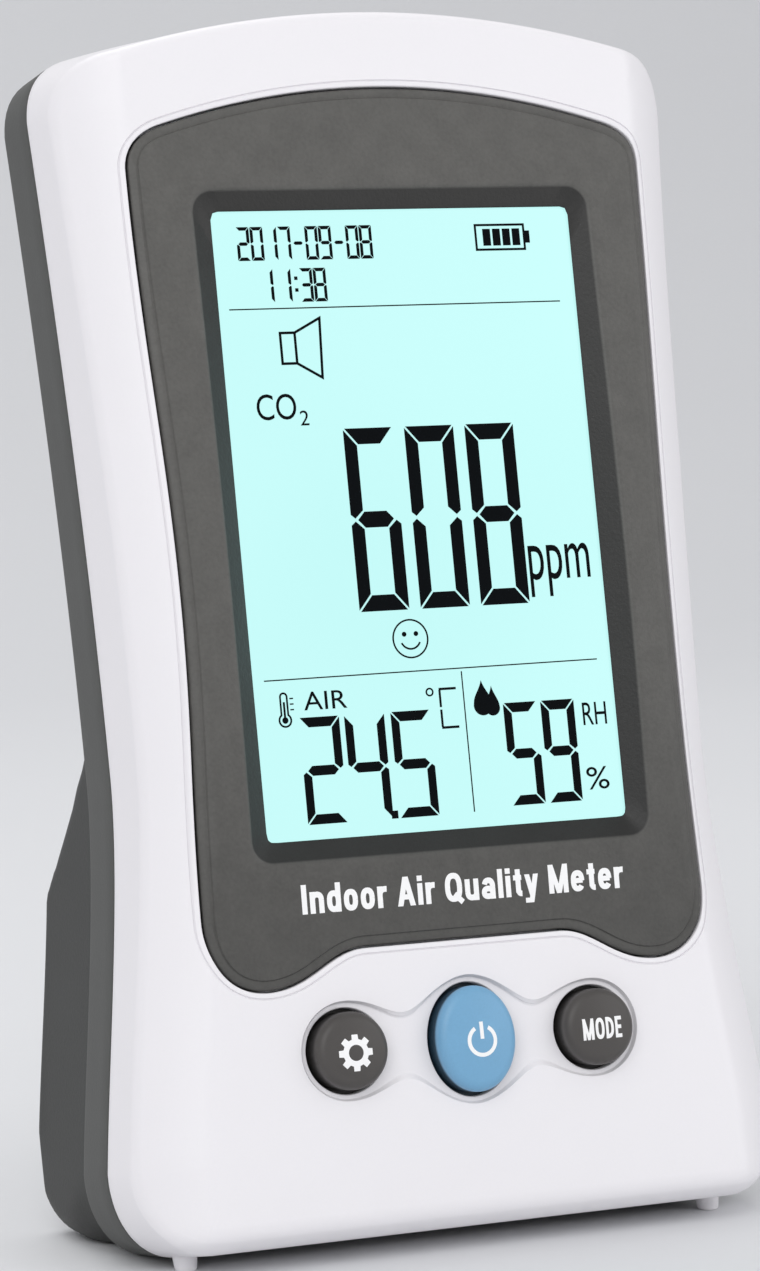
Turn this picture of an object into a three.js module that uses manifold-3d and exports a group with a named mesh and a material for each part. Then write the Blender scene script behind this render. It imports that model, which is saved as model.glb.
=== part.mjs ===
// A desk-top carbon dioxide monitor: a waisted white front shell with a dark display bezel and three
// push buttons, a dark rear shell whose lower half swells into a foot, and the parts it holds inside.
//
// The case is drawn upright and then leant back as one group. Inside that group x runs across the
// case, y runs from the flat face towards the back, and z runs up along the face. Sizes are in
// millimetres. The finished part stands on z = 0 with its origin in the middle of its footprint.
import * as THREE from "three";
import { mergeVertices } from "three/addons/utils/BufferGeometryUtils.js";
import Module from "manifold-3d";

// ---- Driving dimensions -------------------------------------------------------------------------
const LEAN = THREE.MathUtils.degToRad(10); // the face leans back from upright
const GAP = 0.3; // clearance between neighbouring pieces

const CASE_HEIGHT = 156.4; // along the face, at the parting plane
const HALF_FOOT = 45.3; // half width near the bottom
const HALF_WAIST = 40.3;
const WAIST_Z = 60;
const HALF_HEAD = 43.7; // half width near the top
const WALL = 2;

const PARTING_Y = 13; // where the two shells meet
const SIDE_DRAFT = 0.03; // the front shell narrows by this fraction from the parting plane to the face
const CROWN_DROP = 1.7; // and its top drops by this much
const BOTTOM_RISE = 0.25; // and its bottom rises by this much
const FACET_WIDTH = 8.3; // from the face's crease out to the side of the case
const BOTTOM_BEVEL = 2.3;
const SWELL = { high: 1.6, middle: 80, reach: 66 }; // the face swells gently forwards along its height
const SWELL_STEPS = [60, 70, 80, 90, 100, 110, 121]; // heights that its meshes step through

const RIM_BACK = 23; // back plane of the rear shell
const FOOT_BACK = 41.5; // back plane of the swollen foot
const FOOT_INSET = 0.9; // the foot's sides stand in from the rim
const PEG = { x: 36.8, y: 10.9, top: 1.95, tip: 1.4, reach: 1.6 };

const WINDOW = { half: 25.05, low: 49.9, high: 129.2 }; // the visible part of the display
const RECESS = { slope: 2.6, depth: 0.6 }; // width of its sloping surround, and the window edge's plane
const BEZEL_BACK = 2.45;
const LEDGE = { front: 2.75, back: 4.4, outer: 1.5, inner: -2.5 }; // the bezel's seat, offsets from its edge
const LCD = { half: 28.5, low: 45.4, high: 133, front: 0.9, back: 3.1 };
const LIGHT = { half: 28.5, low: 50, high: 133, front: 3.4, back: 8.25 };

const BUTTON_Z = 23.5;
const BUTTON_PITCH = 17.15;
const CAP_PROUD = 2.7; // how far a cap stands out of the face
const CAP_RADIUS = 4.85;
const POWER_CAP = { halfWidth: 5.35, halfHeight: 6.65 };
const CAP_TRAVEL = 0.75; // the slide range of the three cap joints
const STEM_END = 7.6;
const BUTTON_RECESS = 0.45; // depth of the shallow hollow round the buttons

const BOARD = { half: 36, low: 20, high: 134, front: 12.6, back: 14.2 };
const SWITCH = { side: 6, front: 9.1, plungerTop: 7.9, plungerEnd: 10.6, plungerRadius: 1.65 };

const CASE_SCREWS = [
  { x: 34, z: 141.5, back: RIM_BACK },
  { x: 36, z: 15, back: FOOT_BACK },
];
const SCREW = { head: 2.6, shaft: 1.4, seat: 17, headHigh: 2, tip: 7 };
const BOARD_SCREWS = [
  { x: 33.2, z: 26 },
  { x: 33.2, z: 128 },
];
const BOARD_SCREW = { head: 2, shaft: 1, headHigh: 1.4, tip: 8.5 };

const USB = { z: 33, half: 3.8, deep: 6, front: 14.5, back: 17.3, mouth: 41.2 };

// ---- Materials ----------------------------------------------------------------------------------
function material(color, roughness, metalness = 0, more = {}) {
  return new THREE.MeshStandardMaterial({ color, roughness, metalness, ...more });
}

const WHITE = material(0xebe9ee, 0.45);
const GRAPHITE = material(0x5a5a58, 0.6);
const BLUE = material(0x7cacd0, 0.4);
const DISPLAY = material(0xc4f9f7, 0.25, 0, { emissive: 0xc4f9f7, emissiveIntensity: 0.4 });
const DIFFUSER = material(0xf4f6f6, 0.6);
const HOLDER = material(0xdedede, 0.6);
const ZEBRA = material(0xd9b8b8, 0.8);
const BOARD_GREEN = material(0x1f6b3c, 0.5);
const CHIP = material(0x1c1c1e, 0.5);
const STEEL = material(0xb9bcc0, 0.3, 1);
const BRASS = material(0xc8a24a, 0.3, 1);
const SWITCH_BLACK = material(0x262628, 0.5);
const FILTER = material(0xf1f1ec, 0.9);
const CELL = material(0xb5b8bc, 0.4, 0.4);
const FOAM = material(0x3a3a3c, 0.95);
const LABEL = material(0xc9cbcd, 0.45);
const LEAD_RED = material(0xb3231d, 0.45);
const LEAD_BLACK = material(0x1b1b1c, 0.45);

// ---- Solids -------------------------------------------------------------------------------------
const wasm = await Module();
wasm.setup();

// A closed geometry as a solid. A profile that runs the other way round is turned to face out.
function solid(geometry) {
  const bare = new THREE.BufferGeometry();
  bare.setAttribute("position", geometry.getAttribute("position"));
  if (geometry.index) bare.setIndex(geometry.index);
  const merged = mergeVertices(bare, 1e-4);
  const vertProperties = merged.attributes.position.array;
  const triVerts = new Uint32Array(merged.index.array);
  const made = new wasm.Manifold(new wasm.Mesh({ numProp: 3, vertProperties, triVerts }));
  if (made.volume() > 0) return made;
  triVerts.reverse();
  return new wasm.Manifold(new wasm.Mesh({ numProp: 3, vertProperties, triVerts }));
}

const join = (first, ...rest) => rest.reduce((sum, piece) => sum.add(piece), first);
const cut = (first, ...rest) => rest.reduce((left, piece) => left.subtract(piece), first);

function block(x0, x1, y0, y1, z0, z1) {
  const g = new THREE.BoxGeometry(x1 - x0, y1 - y0, z1 - z0);
  return solid(g.translate((x0 + x1) / 2, (y0 + y1) / 2, (z0 + z1) / 2));
}

// A round bar along y.
function rod(x, z, radius, y0, y1, sides = 16) {
  const g = new THREE.CylinderGeometry(radius, radius, y1 - y0, sides);
  return solid(g.translate(x, (y0 + y1) / 2, z));
}

// A body turned about an axis along y, from [radius, y] pairs that start and end on the axis.
function turned(profile, sides, x = 0, z = 0, wide = 1, tall = 1) {
  const g = new THREE.LatheGeometry(
    profile.map(([radius, y]) => new THREE.Vector2(radius, y)),
    sides,
  );
  return solid(g.scale(wide, 1, tall).translate(x, 0, z));
}

// A flat plate: an outline in x and z, between two values of y.
function plate(points, y0, y1) {
  const g = new THREE.ExtrudeGeometry(new THREE.Shape(points), { depth: y1 - y0, bevelEnabled: false });
  return solid(g.rotateX(Math.PI / 2).translate(0, y1, 0));
}

// A closed skin through rings of equal length, each a list of Vector3, with flat ends.
function loft(rings) {
  const count = rings[0].length;
  const positions = rings.flatMap((ring) => ring.flatMap((p) => [p.x, p.y, p.z]));
  const index = [];
  for (let r = 0; r + 1 < rings.length; r++) {
    for (let i = 0; i < count; i++) {
      const a = r * count + i;
      const b = r * count + ((i + 1) % count);
      index.push(a, b, b + count, a, b + count, a + count);
    }
  }
  const endFaces = (ring, start, turnedRound) => {
    const spread = (axis) => {
      const values = ring.map((p) => p[axis]);
      return Math.max(...values) - Math.min(...values);
    };
    const [u, v] = spread("y") < spread("z") ? ["x", "z"] : ["x", "y"];
    const flat = ring.map((p) => new THREE.Vector2(p[u], p[v]));
    const clockwise = THREE.ShapeUtils.isClockWise(flat);
    for (const [a, b, c] of THREE.ShapeUtils.triangulateShape(flat, [])) {
      if (turnedRound !== clockwise) index.push(start + a, start + c, start + b);
      else index.push(start + a, start + b, start + c);
    }
  };
  endFaces(rings[0], 0, true);
  endFaces(rings.at(-1), (rings.length - 1) * count, false);
  const g = new THREE.BufferGeometry();
  g.setAttribute("position", new THREE.Float32BufferAttribute(positions, 3));
  g.setIndex(index);
  return solid(g);
}

// An outline moved inwards by a distance, or outwards by a negative one. Outlines run anticlockwise.
function inset(points, distance) {
  return points.map((p, i) => {
    const before = points.at(i - 1);
    const after = points[(i + 1) % points.length];
    const inward = (from, to) => new THREE.Vector2(from.y - to.y, to.x - from.x).normalize();
    const normal = inward(before, p).add(inward(p, after)).normalize();
    const slant = normal.dot(inward(p, after));
    return p.clone().addScaledVector(normal, distance / slant);
  });
}

// A whole outline from its right half, drawn from the bottom centre up to the top centre.
function mirrored(half) {
  const left = half.slice(1, -1).reverse().map((p) => new THREE.Vector2(-p.x, p.y));
  return [...half, ...left];
}

function roundedRectangle(halfWidth, low, high, radius) {
  const path = new THREE.Path();
  path.moveTo(0, low);
  path.lineTo(halfWidth - radius, low);
  path.quadraticCurveTo(halfWidth, low, halfWidth, low + radius);
  path.lineTo(halfWidth, high - radius);
  path.quadraticCurveTo(halfWidth, high, halfWidth - radius, high);
  path.lineTo(0, high);
  return mirrored(path.getPoints(4));
}

function ellipse(x, z, halfWidth, halfHeight, sides = 20) {
  return new THREE.EllipseCurve(x, z, halfWidth, halfHeight).getPoints(sides).slice(0, -1);
}

const onPlane = (points, y) => points.map((p) => new THREE.Vector3(p.x, y, p.y));

// ---- The case's outline and the shape of its face -------------------------------------------------
function caseHalfOutline() {
  const shoulder = new THREE.Vector2(37.8, 151.2);
  const path = new THREE.Path();
  path.moveTo(0, 0);
  path.lineTo(37, 0);
  path.bezierCurveTo(41.5, 0, HALF_FOOT, 4.2, HALF_FOOT, 11);
  path.bezierCurveTo(HALF_FOOT - 1.3, 24, HALF_WAIST - 0.1, 46, HALF_WAIST, WAIST_Z);
  path.bezierCurveTo(HALF_WAIST + 0.2, 85, HALF_HEAD - 2, 112, HALF_HEAD, 143);
  path.quadraticCurveTo(HALF_HEAD - 0.1, 149.8, shoulder.x, shoulder.y);
  path.quadraticCurveTo(shoulder.x / 2, CASE_HEIGHT, 0, CASE_HEIGHT);
  return path.getPoints(5);
}

function bezelHalfOutline() {
  const path = new THREE.Path();
  path.moveTo(0, 36.3);
  path.lineTo(13.5, 36.3);
  path.bezierCurveTo(18.5, 36.3, 21, 31.8, 27, 31.8);
  path.bezierCurveTo(31.5, 31.8, 34.5, 35.2, 34.6, 40.5);
  path.bezierCurveTo(34.5, 52, 33.8, 62, 33.8, 76);
  path.bezierCurveTo(33.8, 98, 35.4, 112, 35.6, 134.5);
  path.quadraticCurveTo(35.7, 138.4, 31.2, 139.9);
  path.quadraticCurveTo(15.6, 144.7, 0, 144.7);
  return path.getPoints(4);
}

const CASE_HALF = caseHalfOutline();
const CASE_OUTLINE = mirrored(CASE_HALF);
const BEZEL_OUTLINE = mirrored(bezelHalfOutline());

// Half the case's width at a height, read along its side and held past the corners.
function halfWidthAt(z) {
  const side = CASE_HALF.filter((p) => p.y >= 11 && p.y <= 143);
  const next = side.findIndex((p) => p.y >= z);
  if (next === 0) return side[0].x;
  if (next < 0) return side.at(-1).x;
  const low = side[next - 1];
  const high = side[next];
  return THREE.MathUtils.mapLinear(z, low.y, high.y, low.x, high.x);
}

// How far the side facets fall back from the flat face, at a distance out from the crease.
const facetDepth = (distance) => 0.45 * distance + 0.0467 * distance ** 2;

// How far the face stands forward at a height.
function swellAt(z) {
  const offset = Math.min(1, Math.abs(z - SWELL.middle) / SWELL.reach);
  return SWELL.high * Math.cos((offset * Math.PI) / 2) ** 2;
}

// Everything behind the face, pushed back by a thickness: a broad strip with a falling facet each side.
function behindFace(thickness) {
  const stations = [-4, BOTTOM_BEVEL, 13, 22, 31, 40, 50, ...SWELL_STEPS, 132, 146, 161];
  const rings = stations.map((z) => {
    const crease = halfWidthAt(z) - FACET_WIDTH;
    const set = thickness + Math.max(0, BOTTOM_BEVEL - z) - swellAt(z);
    const right = [0, 2.5, 5, 7.5, 10, 15].map(
      (d) => new THREE.Vector3(crease + d, facetDepth(d) + set, z),
    );
    const left = right.map((p) => new THREE.Vector3(-p.x, p.y, z)).reverse();
    const back = 40;
    return [
      ...left,
      ...right,
      new THREE.Vector3(right.at(-1).x, back, z),
      new THREE.Vector3(left[0].x, back, z),
    ];
  });
  return loft(rings);
}

// The front shell's side walls narrow towards the face.
function draftedRing(points, y) {
  const k = (PARTING_Y - y) / PARTING_Y;
  const shrink = (CROWN_DROP + BOTTOM_RISE) / CASE_HEIGHT;
  const toRing = (p) => new THREE.Vector3(
    p.x * (1 - SIDE_DRAFT * k),
    y,
    BOTTOM_RISE * k + p.y * (1 - shrink * k),
  );
  return points.map(toRing);
}

const IN_FRONT = -4; // well forward of the face

const floorAt = (y) => -PEG.reach + (y - PEG.y) * Math.tan(LEAN);

// ---- Front shell ----------------------------------------------------------------------------------
function frontBody(wall, back) {
  const points = inset(CASE_OUTLINE, wall);
  return loft([IN_FRONT, back].map((y) => draftedRing(points, y))).intersect(behindFace(wall));
}

// A collar behind the face round the bezel, with a ledge at its back.
function bezelCollar() {
  const ring = plate(inset(BEZEL_OUTLINE, -LEDGE.outer), IN_FRONT, LEDGE.back).intersect(behindFace(0));
  return cut(ring, plate(inset(BEZEL_OUTLINE, -LEDGE.inner), IN_FRONT - 1, LEDGE.back + 1));
}

function buttonHollow() {
  const deep = BUTTON_RECESS;
  const round = (side) => plate(ellipse(side * BUTTON_PITCH, BUTTON_Z, 6.05, 6.05), -1, deep);
  const middle = plate(ellipse(0, BUTTON_Z, 6.75, 7.9), -1, deep);
  const bridge = block(-BUTTON_PITCH, BUTTON_PITCH, -1, deep, BUTTON_Z - 3.1, BUTTON_Z + 3.1);
  return join(middle, round(-1), round(1), bridge);
}

// Pegs under the front shell, cut off level with the ground.
function frontPeg(side) {
  const high = 4;
  const low = PEG.reach + 1;
  const g = new THREE.CylinderGeometry(PEG.top, PEG.tip, high + low, 12);
  g.rotateX(Math.PI / 2).translate(side * PEG.x, PEG.y, (high - low) / 2);
  const ground = new THREE.BoxGeometry(10, 10, 4);
  ground.rotateX(LEAN).translate(side * PEG.x, PEG.y, 0);
  const drop = -PEG.reach - 2 / Math.cos(LEAN);
  return cut(solid(g), solid(ground.translate(0, 0, drop)));
}

function frontShell() {
  const outer = frontBody(0, PARTING_Y);
  let shell = cut(outer, frontBody(WALL, PARTING_Y + 1));
  shell = join(shell, bezelCollar());
  const post = (x, z, radius, end) => rod(x, z, radius, 1, end, 12).intersect(outer);
  const pilot = [];
  for (const side of [-1, 1]) {
    shell = join(shell, frontPeg(side).intersect(block(-60, 60, 0, PARTING_Y, -9, 9)));
    for (const { x, z } of CASE_SCREWS) {
      shell = join(shell, post(side * x, z, 3.3, PARTING_Y - 0.15));
      pilot.push(rod(side * x, z, SCREW.shaft + GAP, SCREW.tip - 1, PARTING_Y + 1, 8));
    }
    for (const { x, z } of BOARD_SCREWS) {
      shell = join(shell, post(side * x, z, 2.5, BOARD.front - GAP));
      pilot.push(rod(side * x, z, BOARD_SCREW.shaft + GAP, BOARD_SCREW.tip - 1, BOARD.front, 8));
    }
  }
  const bezelSeat = plate(inset(BEZEL_OUTLINE, -GAP), IN_FRONT, LEDGE.front);
  const capHole = (side) => rod(side * BUTTON_PITCH, BUTTON_Z, CAP_RADIUS + GAP, -2, 8, 20);
  const powerHole = plate(
    ellipse(0, BUTTON_Z, POWER_CAP.halfWidth + GAP, POWER_CAP.halfHeight + GAP, 20), -2, 8,
  );
  const within = plate(inset(BEZEL_OUTLINE, -LEDGE.inner), IN_FRONT, LEDGE.back + 1);
  return cut(shell, bezelSeat, within, buttonHollow(), capHole(-1), capHole(1), powerHole, ...pilot);
}

// ---- Display ---------------------------------------------------------------------------------------
// The window grown outwards, with points up its sides so that it can follow the face.
function windowRing(grow, yAt) {
  const half = WINDOW.half + grow;
  const low = WINDOW.low - grow;
  const high = WINDOW.high + grow;
  const radius = 1.2 + grow * 0.5;
  const path = new THREE.Path();
  path.moveTo(0, low);
  path.lineTo(half - radius, low);
  path.quadraticCurveTo(half, low, half, low + radius);
  for (const z of SWELL_STEPS) path.lineTo(half, z);
  path.lineTo(half, high - radius);
  path.quadraticCurveTo(half, high, half - radius, high);
  path.lineTo(0, high);
  return mirrored(path.getPoints(4)).map((p) => new THREE.Vector3(p.x, yAt(p.y), p.y));
}

function displayBezel() {
  const body = plate(BEZEL_OUTLINE, IN_FRONT, BEZEL_BACK).intersect(behindFace(0));
  const opening = loft([
    windowRing(RECESS.slope, () => IN_FRONT - 1),
    windowRing(RECESS.slope, (z) => -swellAt(z)),
    windowRing(0, () => RECESS.depth),
    windowRing(0, () => RECESS.depth + 1),
  ]);
  const { half, low, high } = LCD;
  const pocket = block(-half - GAP, half + GAP, RECESS.depth, BEZEL_BACK + 1, low - GAP, high + GAP);
  return cut(body, opening, pocket);
}

function displayHolder() {
  const back = BOARD.front - GAP;
  const outer = block(-30.4, 30.4, 4.8, back, 43.6, 135);
  const well = block(-28.8, 28.8, 4, 8.55, 45, 133.4);
  const behind = block(-28.8, 28.8, 9.6, back + 1, 45, 133.4);
  const strip = block(-28.8, 28.8, 4, back + 1, 45, 49.2);
  return cut(outer, well, behind, strip);
}

// ---- Buttons ----------------------------------------------------------------------------------------
function buttonCap(x, wide, tall) {
  const stem = 1.9 / CAP_RADIUS;
  const profile = [
    [0, -CAP_PROUD],
    [0.55, -CAP_PROUD + 0.05],
    [0.8, -CAP_PROUD + 0.25],
    [0.93, -CAP_PROUD + 0.6],
    [1, -CAP_PROUD + 1.3],
    [1, WALL + GAP],
    [1.22, WALL + GAP],
    [1.22, WALL + GAP + 1],
    [stem, WALL + GAP + 1],
    [stem, STEM_END],
    [0, STEM_END],
  ];
  return turned(profile, 18, x, BUTTON_Z, wide, tall);
}

function switchBody(x) {
  const half = SWITCH.side / 2;
  const body = block(x - half, x + half, SWITCH.front, BOARD.front - GAP, BUTTON_Z - half, BUTTON_Z + half);
  const travelRoom = SWITCH.plungerEnd + CAP_TRAVEL;
  return cut(body, rod(x, BUTTON_Z, SWITCH.plungerRadius + GAP, SWITCH.front - 1, travelRoom));
}

function switchPlunger(x) {
  return rod(x, BUTTON_Z, SWITCH.plungerRadius, SWITCH.plungerTop, SWITCH.plungerEnd);
}

// ---- Electronics --------------------------------------------------------------------------------------
function mainBoard() {
  const holes = [-1, 1].flatMap((side) =>
    BOARD_SCREWS.map(({ x, z }) => rod(side * x, z, BOARD_SCREW.shaft + GAP, 12, 15, 8)),
  );
  return cut(block(-BOARD.half, BOARD.half, BOARD.front, BOARD.back, BOARD.low, BOARD.high), ...holes);
}

const ON_BOARD = BOARD.back + GAP;

const SENSOR = { left: -36, right: -3, low: 20, high: 40, board: 17.4 };

function sensorHeader() {
  const high = SENSOR.board - GAP;
  return block(SENSOR.left + 2, SENSOR.right - 2, ON_BOARD, high, SENSOR.high - 4, SENSOR.high - 1.5);
}

// A gilded gas chamber: a long round-ended trough with a hole pattern left to its filter.
function sensorChamber() {
  const front = SENSOR.board + 1.2 + GAP;
  const points = roundedRectangle(15, SENSOR.low + 1, SENSOR.high - 1, 3.5);
  const moved = points.map((p) => new THREE.Vector2(p.x + (SENSOR.left + SENSOR.right) / 2, p.y));
  return plate(moved, front, front + 8);
}

function usbSocket() {
  const shell = block(USB.mouth - USB.deep, USB.mouth, USB.front, USB.back, USB.z - USB.half, USB.z + USB.half);
  const wall = 0.35;
  const mouth = block(
    USB.mouth - USB.deep + 1, USB.mouth + 1,
    USB.front + wall, USB.back - wall, USB.z - USB.half + wall, USB.z + USB.half - wall,
  );
  const tongueEnd = USB.mouth - 1;
  const tongue = block(USB.mouth - USB.deep, tongueEnd, 15.6, 16.2, USB.z - 2.6, USB.z + 2.6);
  return join(cut(shell, mouth), tongue);
}

// ---- Battery and its leads ------------------------------------------------------------------------------
const BATTERY = { left: -19, right: 31, low: 8.5, high: 42.5, front: 29.6, back: 37.6 };
const PLUG = { x: 20, z: 62, half: 3.2 };

function batteryCell() {
  const profile = roundedRectangle(
    (BATTERY.back - BATTERY.front) / 2, BATTERY.low, BATTERY.high, 3,
  );
  const shape = new THREE.Shape(profile);
  const g = new THREE.ExtrudeGeometry(shape, { depth: BATTERY.right - BATTERY.left, bevelEnabled: false });
  g.applyMatrix4(new THREE.Matrix4().makeBasis(
    new THREE.Vector3(0, 1, 0),
    new THREE.Vector3(0, 0, 1),
    new THREE.Vector3(1, 0, 0),
  ));
  return solid(g.translate(BATTERY.left, (BATTERY.front + BATTERY.back) / 2, 0));
}

function batteryLead(offset) {
  const x = PLUG.x + offset;
  const middle = (BATTERY.front + BATTERY.back) / 2;
  const route = new THREE.CatmullRomCurve3([
    new THREE.Vector3(x, middle, BATTERY.high + GAP),
    new THREE.Vector3(x, middle, BATTERY.high + 3),
    new THREE.Vector3(x, middle - 4, BATTERY.high + 9),
    new THREE.Vector3(x, middle - 12, BATTERY.high + 13),
    new THREE.Vector3(x, 17.4, PLUG.z - 5),
    new THREE.Vector3(x, 17.4, PLUG.z - PLUG.half - GAP),
  ]);
  const section = new THREE.Shape(ellipse(0, 0, 0.7, 0.7, 8));
  return solid(new THREE.ExtrudeGeometry(section, { steps: 12, extrudePath: route, bevelEnabled: false }));
}

// ---- Rear shell ---------------------------------------------------------------------------------------------
const rimRing = (wall, [y, edge]) => onPlane(inset(CASE_OUTLINE, wall + edge), y);

function rimBody(wall, front) {
  const back = RIM_BACK - wall;
  const steps = [[front, 0], [back - 1.9, 0.2], [back - 0.6, 0.7], [back, 1.7]];
  return loft(steps.map((step) => rimRing(wall, step)));
}

// The foot grows straight back along the ground, so its bottom lies on it.
function footRing(wall, [y, edge]) {
  const points = inset(CASE_OUTLINE, FOOT_INSET + wall + edge);
  const rise = floorAt(y) - FOOT_INSET - edge;
  return points.map((p) => new THREE.Vector3(p.x, y, p.y + rise));
}

// The foot seen from the side: a slope out from the back, a round edge, a flat back, a round heel.
function footProfile(wall) {
  const path = new THREE.Path();
  path.moveTo(15, -6);
  path.lineTo(34, -6);
  path.lineTo(36, floorAt(36));
  path.quadraticCurveTo(FOOT_BACK, floorAt(FOOT_BACK), FOOT_BACK, 10.5);
  path.lineTo(FOOT_BACK, 43);
  path.quadraticCurveTo(FOOT_BACK, 47.6, 38.6, 50.6);
  path.lineTo(RIM_BACK, 67);
  path.lineTo(15, 75.4);
  const points = inset(path.getPoints(5), wall);
  const shape = new THREE.Shape(points);
  const wide = 2 * HALF_FOOT + 10;
  const g = new THREE.ExtrudeGeometry(shape, { depth: wide, bevelEnabled: false });
  g.applyMatrix4(new THREE.Matrix4().makeBasis(
    new THREE.Vector3(0, 1, 0),
    new THREE.Vector3(0, 0, 1),
    new THREE.Vector3(1, 0, 0),
  ));
  return solid(g.translate(-wide / 2, 0, 0));
}

function footBody(wall, front) {
  const steps = [[front, 0], [FOOT_BACK - 2, 0.3], [FOOT_BACK - 0.6, 0.9], [FOOT_BACK + 1, 2.5]];
  return loft(steps.map((step) => footRing(wall, step))).intersect(footProfile(wall));
}

const VENT = { columns: 8, pitch: 4.6, halfWidth: 1.1, banks: [[82, 98], [104, 120]] };

function ventSlots() {
  const slots = [];
  for (const [low, high] of VENT.banks) {
    for (let i = 0; i < VENT.columns; i++) {
      const x = (i - (VENT.columns - 1) / 2) * VENT.pitch;
      const points = roundedRectangle(VENT.halfWidth, low, high, VENT.halfWidth * 0.95);
      slots.push(plate(points.map((p) => new THREE.Vector2(p.x + x, p.y)), 18, RIM_BACK + 1));
    }
  }
  return slots;
}

const LABEL_AREA = { half: 22, low: 17, high: 39, pocket: 0.6, thick: 0.3 };

function labelPlate(grow, y0, y1) {
  const { half, low, high } = LABEL_AREA;
  return plate(roundedRectangle(half + grow, low - grow, high + grow, 1.5), y0, y1);
}

function rearShell() {
  const front = PARTING_Y + GAP;
  const outer = join(rimBody(0, front), footBody(0, RIM_BACK - 3));
  const hollow = join(rimBody(WALL, front - 1), footBody(WALL, front - 1).intersect(behindFace(WALL)));
  let shell = cut(outer, hollow);
  const wells = [];
  for (const side of [-1, 1]) {
    for (const { x, z, back } of CASE_SCREWS) {
      const post = rod(side * x, z, 4.1, front, back - 0.5, 14).intersect(outer);
      shell = join(shell, post);
      wells.push(rod(side * x, z, SCREW.shaft + GAP, front - 1, SCREW.seat + 1, 8));
      wells.push(rod(side * x, z, SCREW.head + 0.5, SCREW.seat, back + 1, 14));
    }
  }
  const inlet = block(
    USB.mouth - 2, HALF_FOOT + 1,
    USB.front - GAP, USB.back + GAP, USB.z - USB.half - GAP, USB.z + USB.half + GAP,
  );
  const pocket = labelPlate(GAP, FOOT_BACK - LABEL_AREA.pocket, FOOT_BACK + 1);
  return cut(shell, ...wells, ...ventSlots(), inlet, pocket);
}

// ---- Fasteners ---------------------------------------------------------------------------------------------
function caseScrew(x, z) {
  const { head, shaft, seat, headHigh, tip } = SCREW;
  const under = seat + GAP;
  const profile = [
    [0, tip],
    [shaft * 0.5, tip],
    [shaft, tip + 1.5],
    [shaft, under],
    [head, under],
    [head, under + headHigh * 0.6],
    [head * 0.8, under + headHigh],
    [0, under + headHigh],
  ];
  return turned(profile, 12, x, z);
}

function boardScrew(x, z) {
  const { head, shaft, headHigh, tip } = BOARD_SCREW;
  const profile = [
    [0, tip],
    [shaft, tip + 1],
    [shaft, ON_BOARD],
    [head, ON_BOARD],
    [head, ON_BOARD + headHigh],
    [0, ON_BOARD + headHigh],
  ];
  return turned(profile, 10, x, z);
}

// ---- Assembly ------------------------------------------------------------------------------------------------
const leaning = new THREE.Group();

function add(name, made, look) {
  const mesh = made.getMesh();
  const g = new THREE.BufferGeometry();
  g.setAttribute("position", new THREE.BufferAttribute(mesh.vertProperties, 3));
  g.setIndex(new THREE.BufferAttribute(mesh.triVerts, 1));
  const flat = g.toNonIndexed();
  flat.computeVertexNormals();
  const part = new THREE.Mesh(flat, look);
  part.name = name;
  leaning.add(part);
}

function addCase() {
  add("front_shell", frontShell(), WHITE);
  add("rear_shell", rearShell(), GRAPHITE);
  const labelFront = FOOT_BACK - LABEL_AREA.pocket + GAP;
  add("rating_label", labelPlate(0, labelFront, labelFront + LABEL_AREA.thick), LABEL);
  const filterBack = RIM_BACK - WALL - GAP;
  add("vent_filter", block(-20.5, 20.5, filterBack - 0.6, filterBack, 80, 122), FILTER);
}

function addDisplay() {
  add("display_bezel", displayBezel(), GRAPHITE);
  add("lcd_panel", block(-LCD.half, LCD.half, LCD.front, LCD.back, LCD.low, LCD.high), DISPLAY);
  add("backlight_panel", block(-LIGHT.half, LIGHT.half, LIGHT.front, LIGHT.back, LIGHT.low, LIGHT.high), DIFFUSER);
  add("display_holder", displayHolder(), HOLDER);
  add("lcd_contact_strip", block(-24, 24, LCD.back + GAP, BOARD.front - GAP, 45.8, 48.4), ZEBRA);
}

function addButtons() {
  const round = CAP_RADIUS;
  add("settings_button", buttonCap(-BUTTON_PITCH, round, round), GRAPHITE);
  add("power_button", buttonCap(0, POWER_CAP.halfWidth, POWER_CAP.halfHeight), BLUE);
  add("mode_button", buttonCap(BUTTON_PITCH, round, round), GRAPHITE);
  for (const [name, x] of [["settings", -BUTTON_PITCH], ["power", 0], ["mode", BUTTON_PITCH]]) {
    add(name + "_switch_body", switchBody(x), SWITCH_BLACK);
    add(name + "_switch_plunger", switchPlunger(x), WHITE);
  }
}

function addElectronics() {
  add("main_board", mainBoard(), BOARD_GREEN);
  add("controller_chip", block(-6, 6, ON_BOARD, ON_BOARD + 1.4, 66, 78), CHIP);
  add("alarm_buzzer", rod(26, 100, 4.5, ON_BOARD, ON_BOARD + 4, 20), CHIP);
  add("charger_chip", block(24, 29, ON_BOARD, ON_BOARD + 1.2, 40, 44), CHIP);
  add("climate_sensor_board", block(-28, -18, ON_BOARD, ON_BOARD + 1, 126, 132.5), BOARD_GREEN);
  const climateFront = ON_BOARD + 1 + GAP;
  add("climate_sensor", block(-24.5, -21.5, climateFront, climateFront + 1.1, 127.5, 130.5), FILTER);
  add("usb_socket", usbSocket(), STEEL);
}

function addGasSensor() {
  const { left, right, low, high, board } = SENSOR;
  add("co2_sensor_header", sensorHeader(), CHIP);
  add("co2_sensor_board", block(left, right, board, board + 1.2, low, high), BOARD_GREEN);
  add("co2_sensor_chamber", sensorChamber(), BRASS);
  const filterFront = board + 1.2 + GAP + 8 + GAP;
  add("co2_sensor_filter", block(left + 8, right - 8, filterFront, filterFront + 0.6, low + 5, high - 5), FILTER);
}

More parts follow.
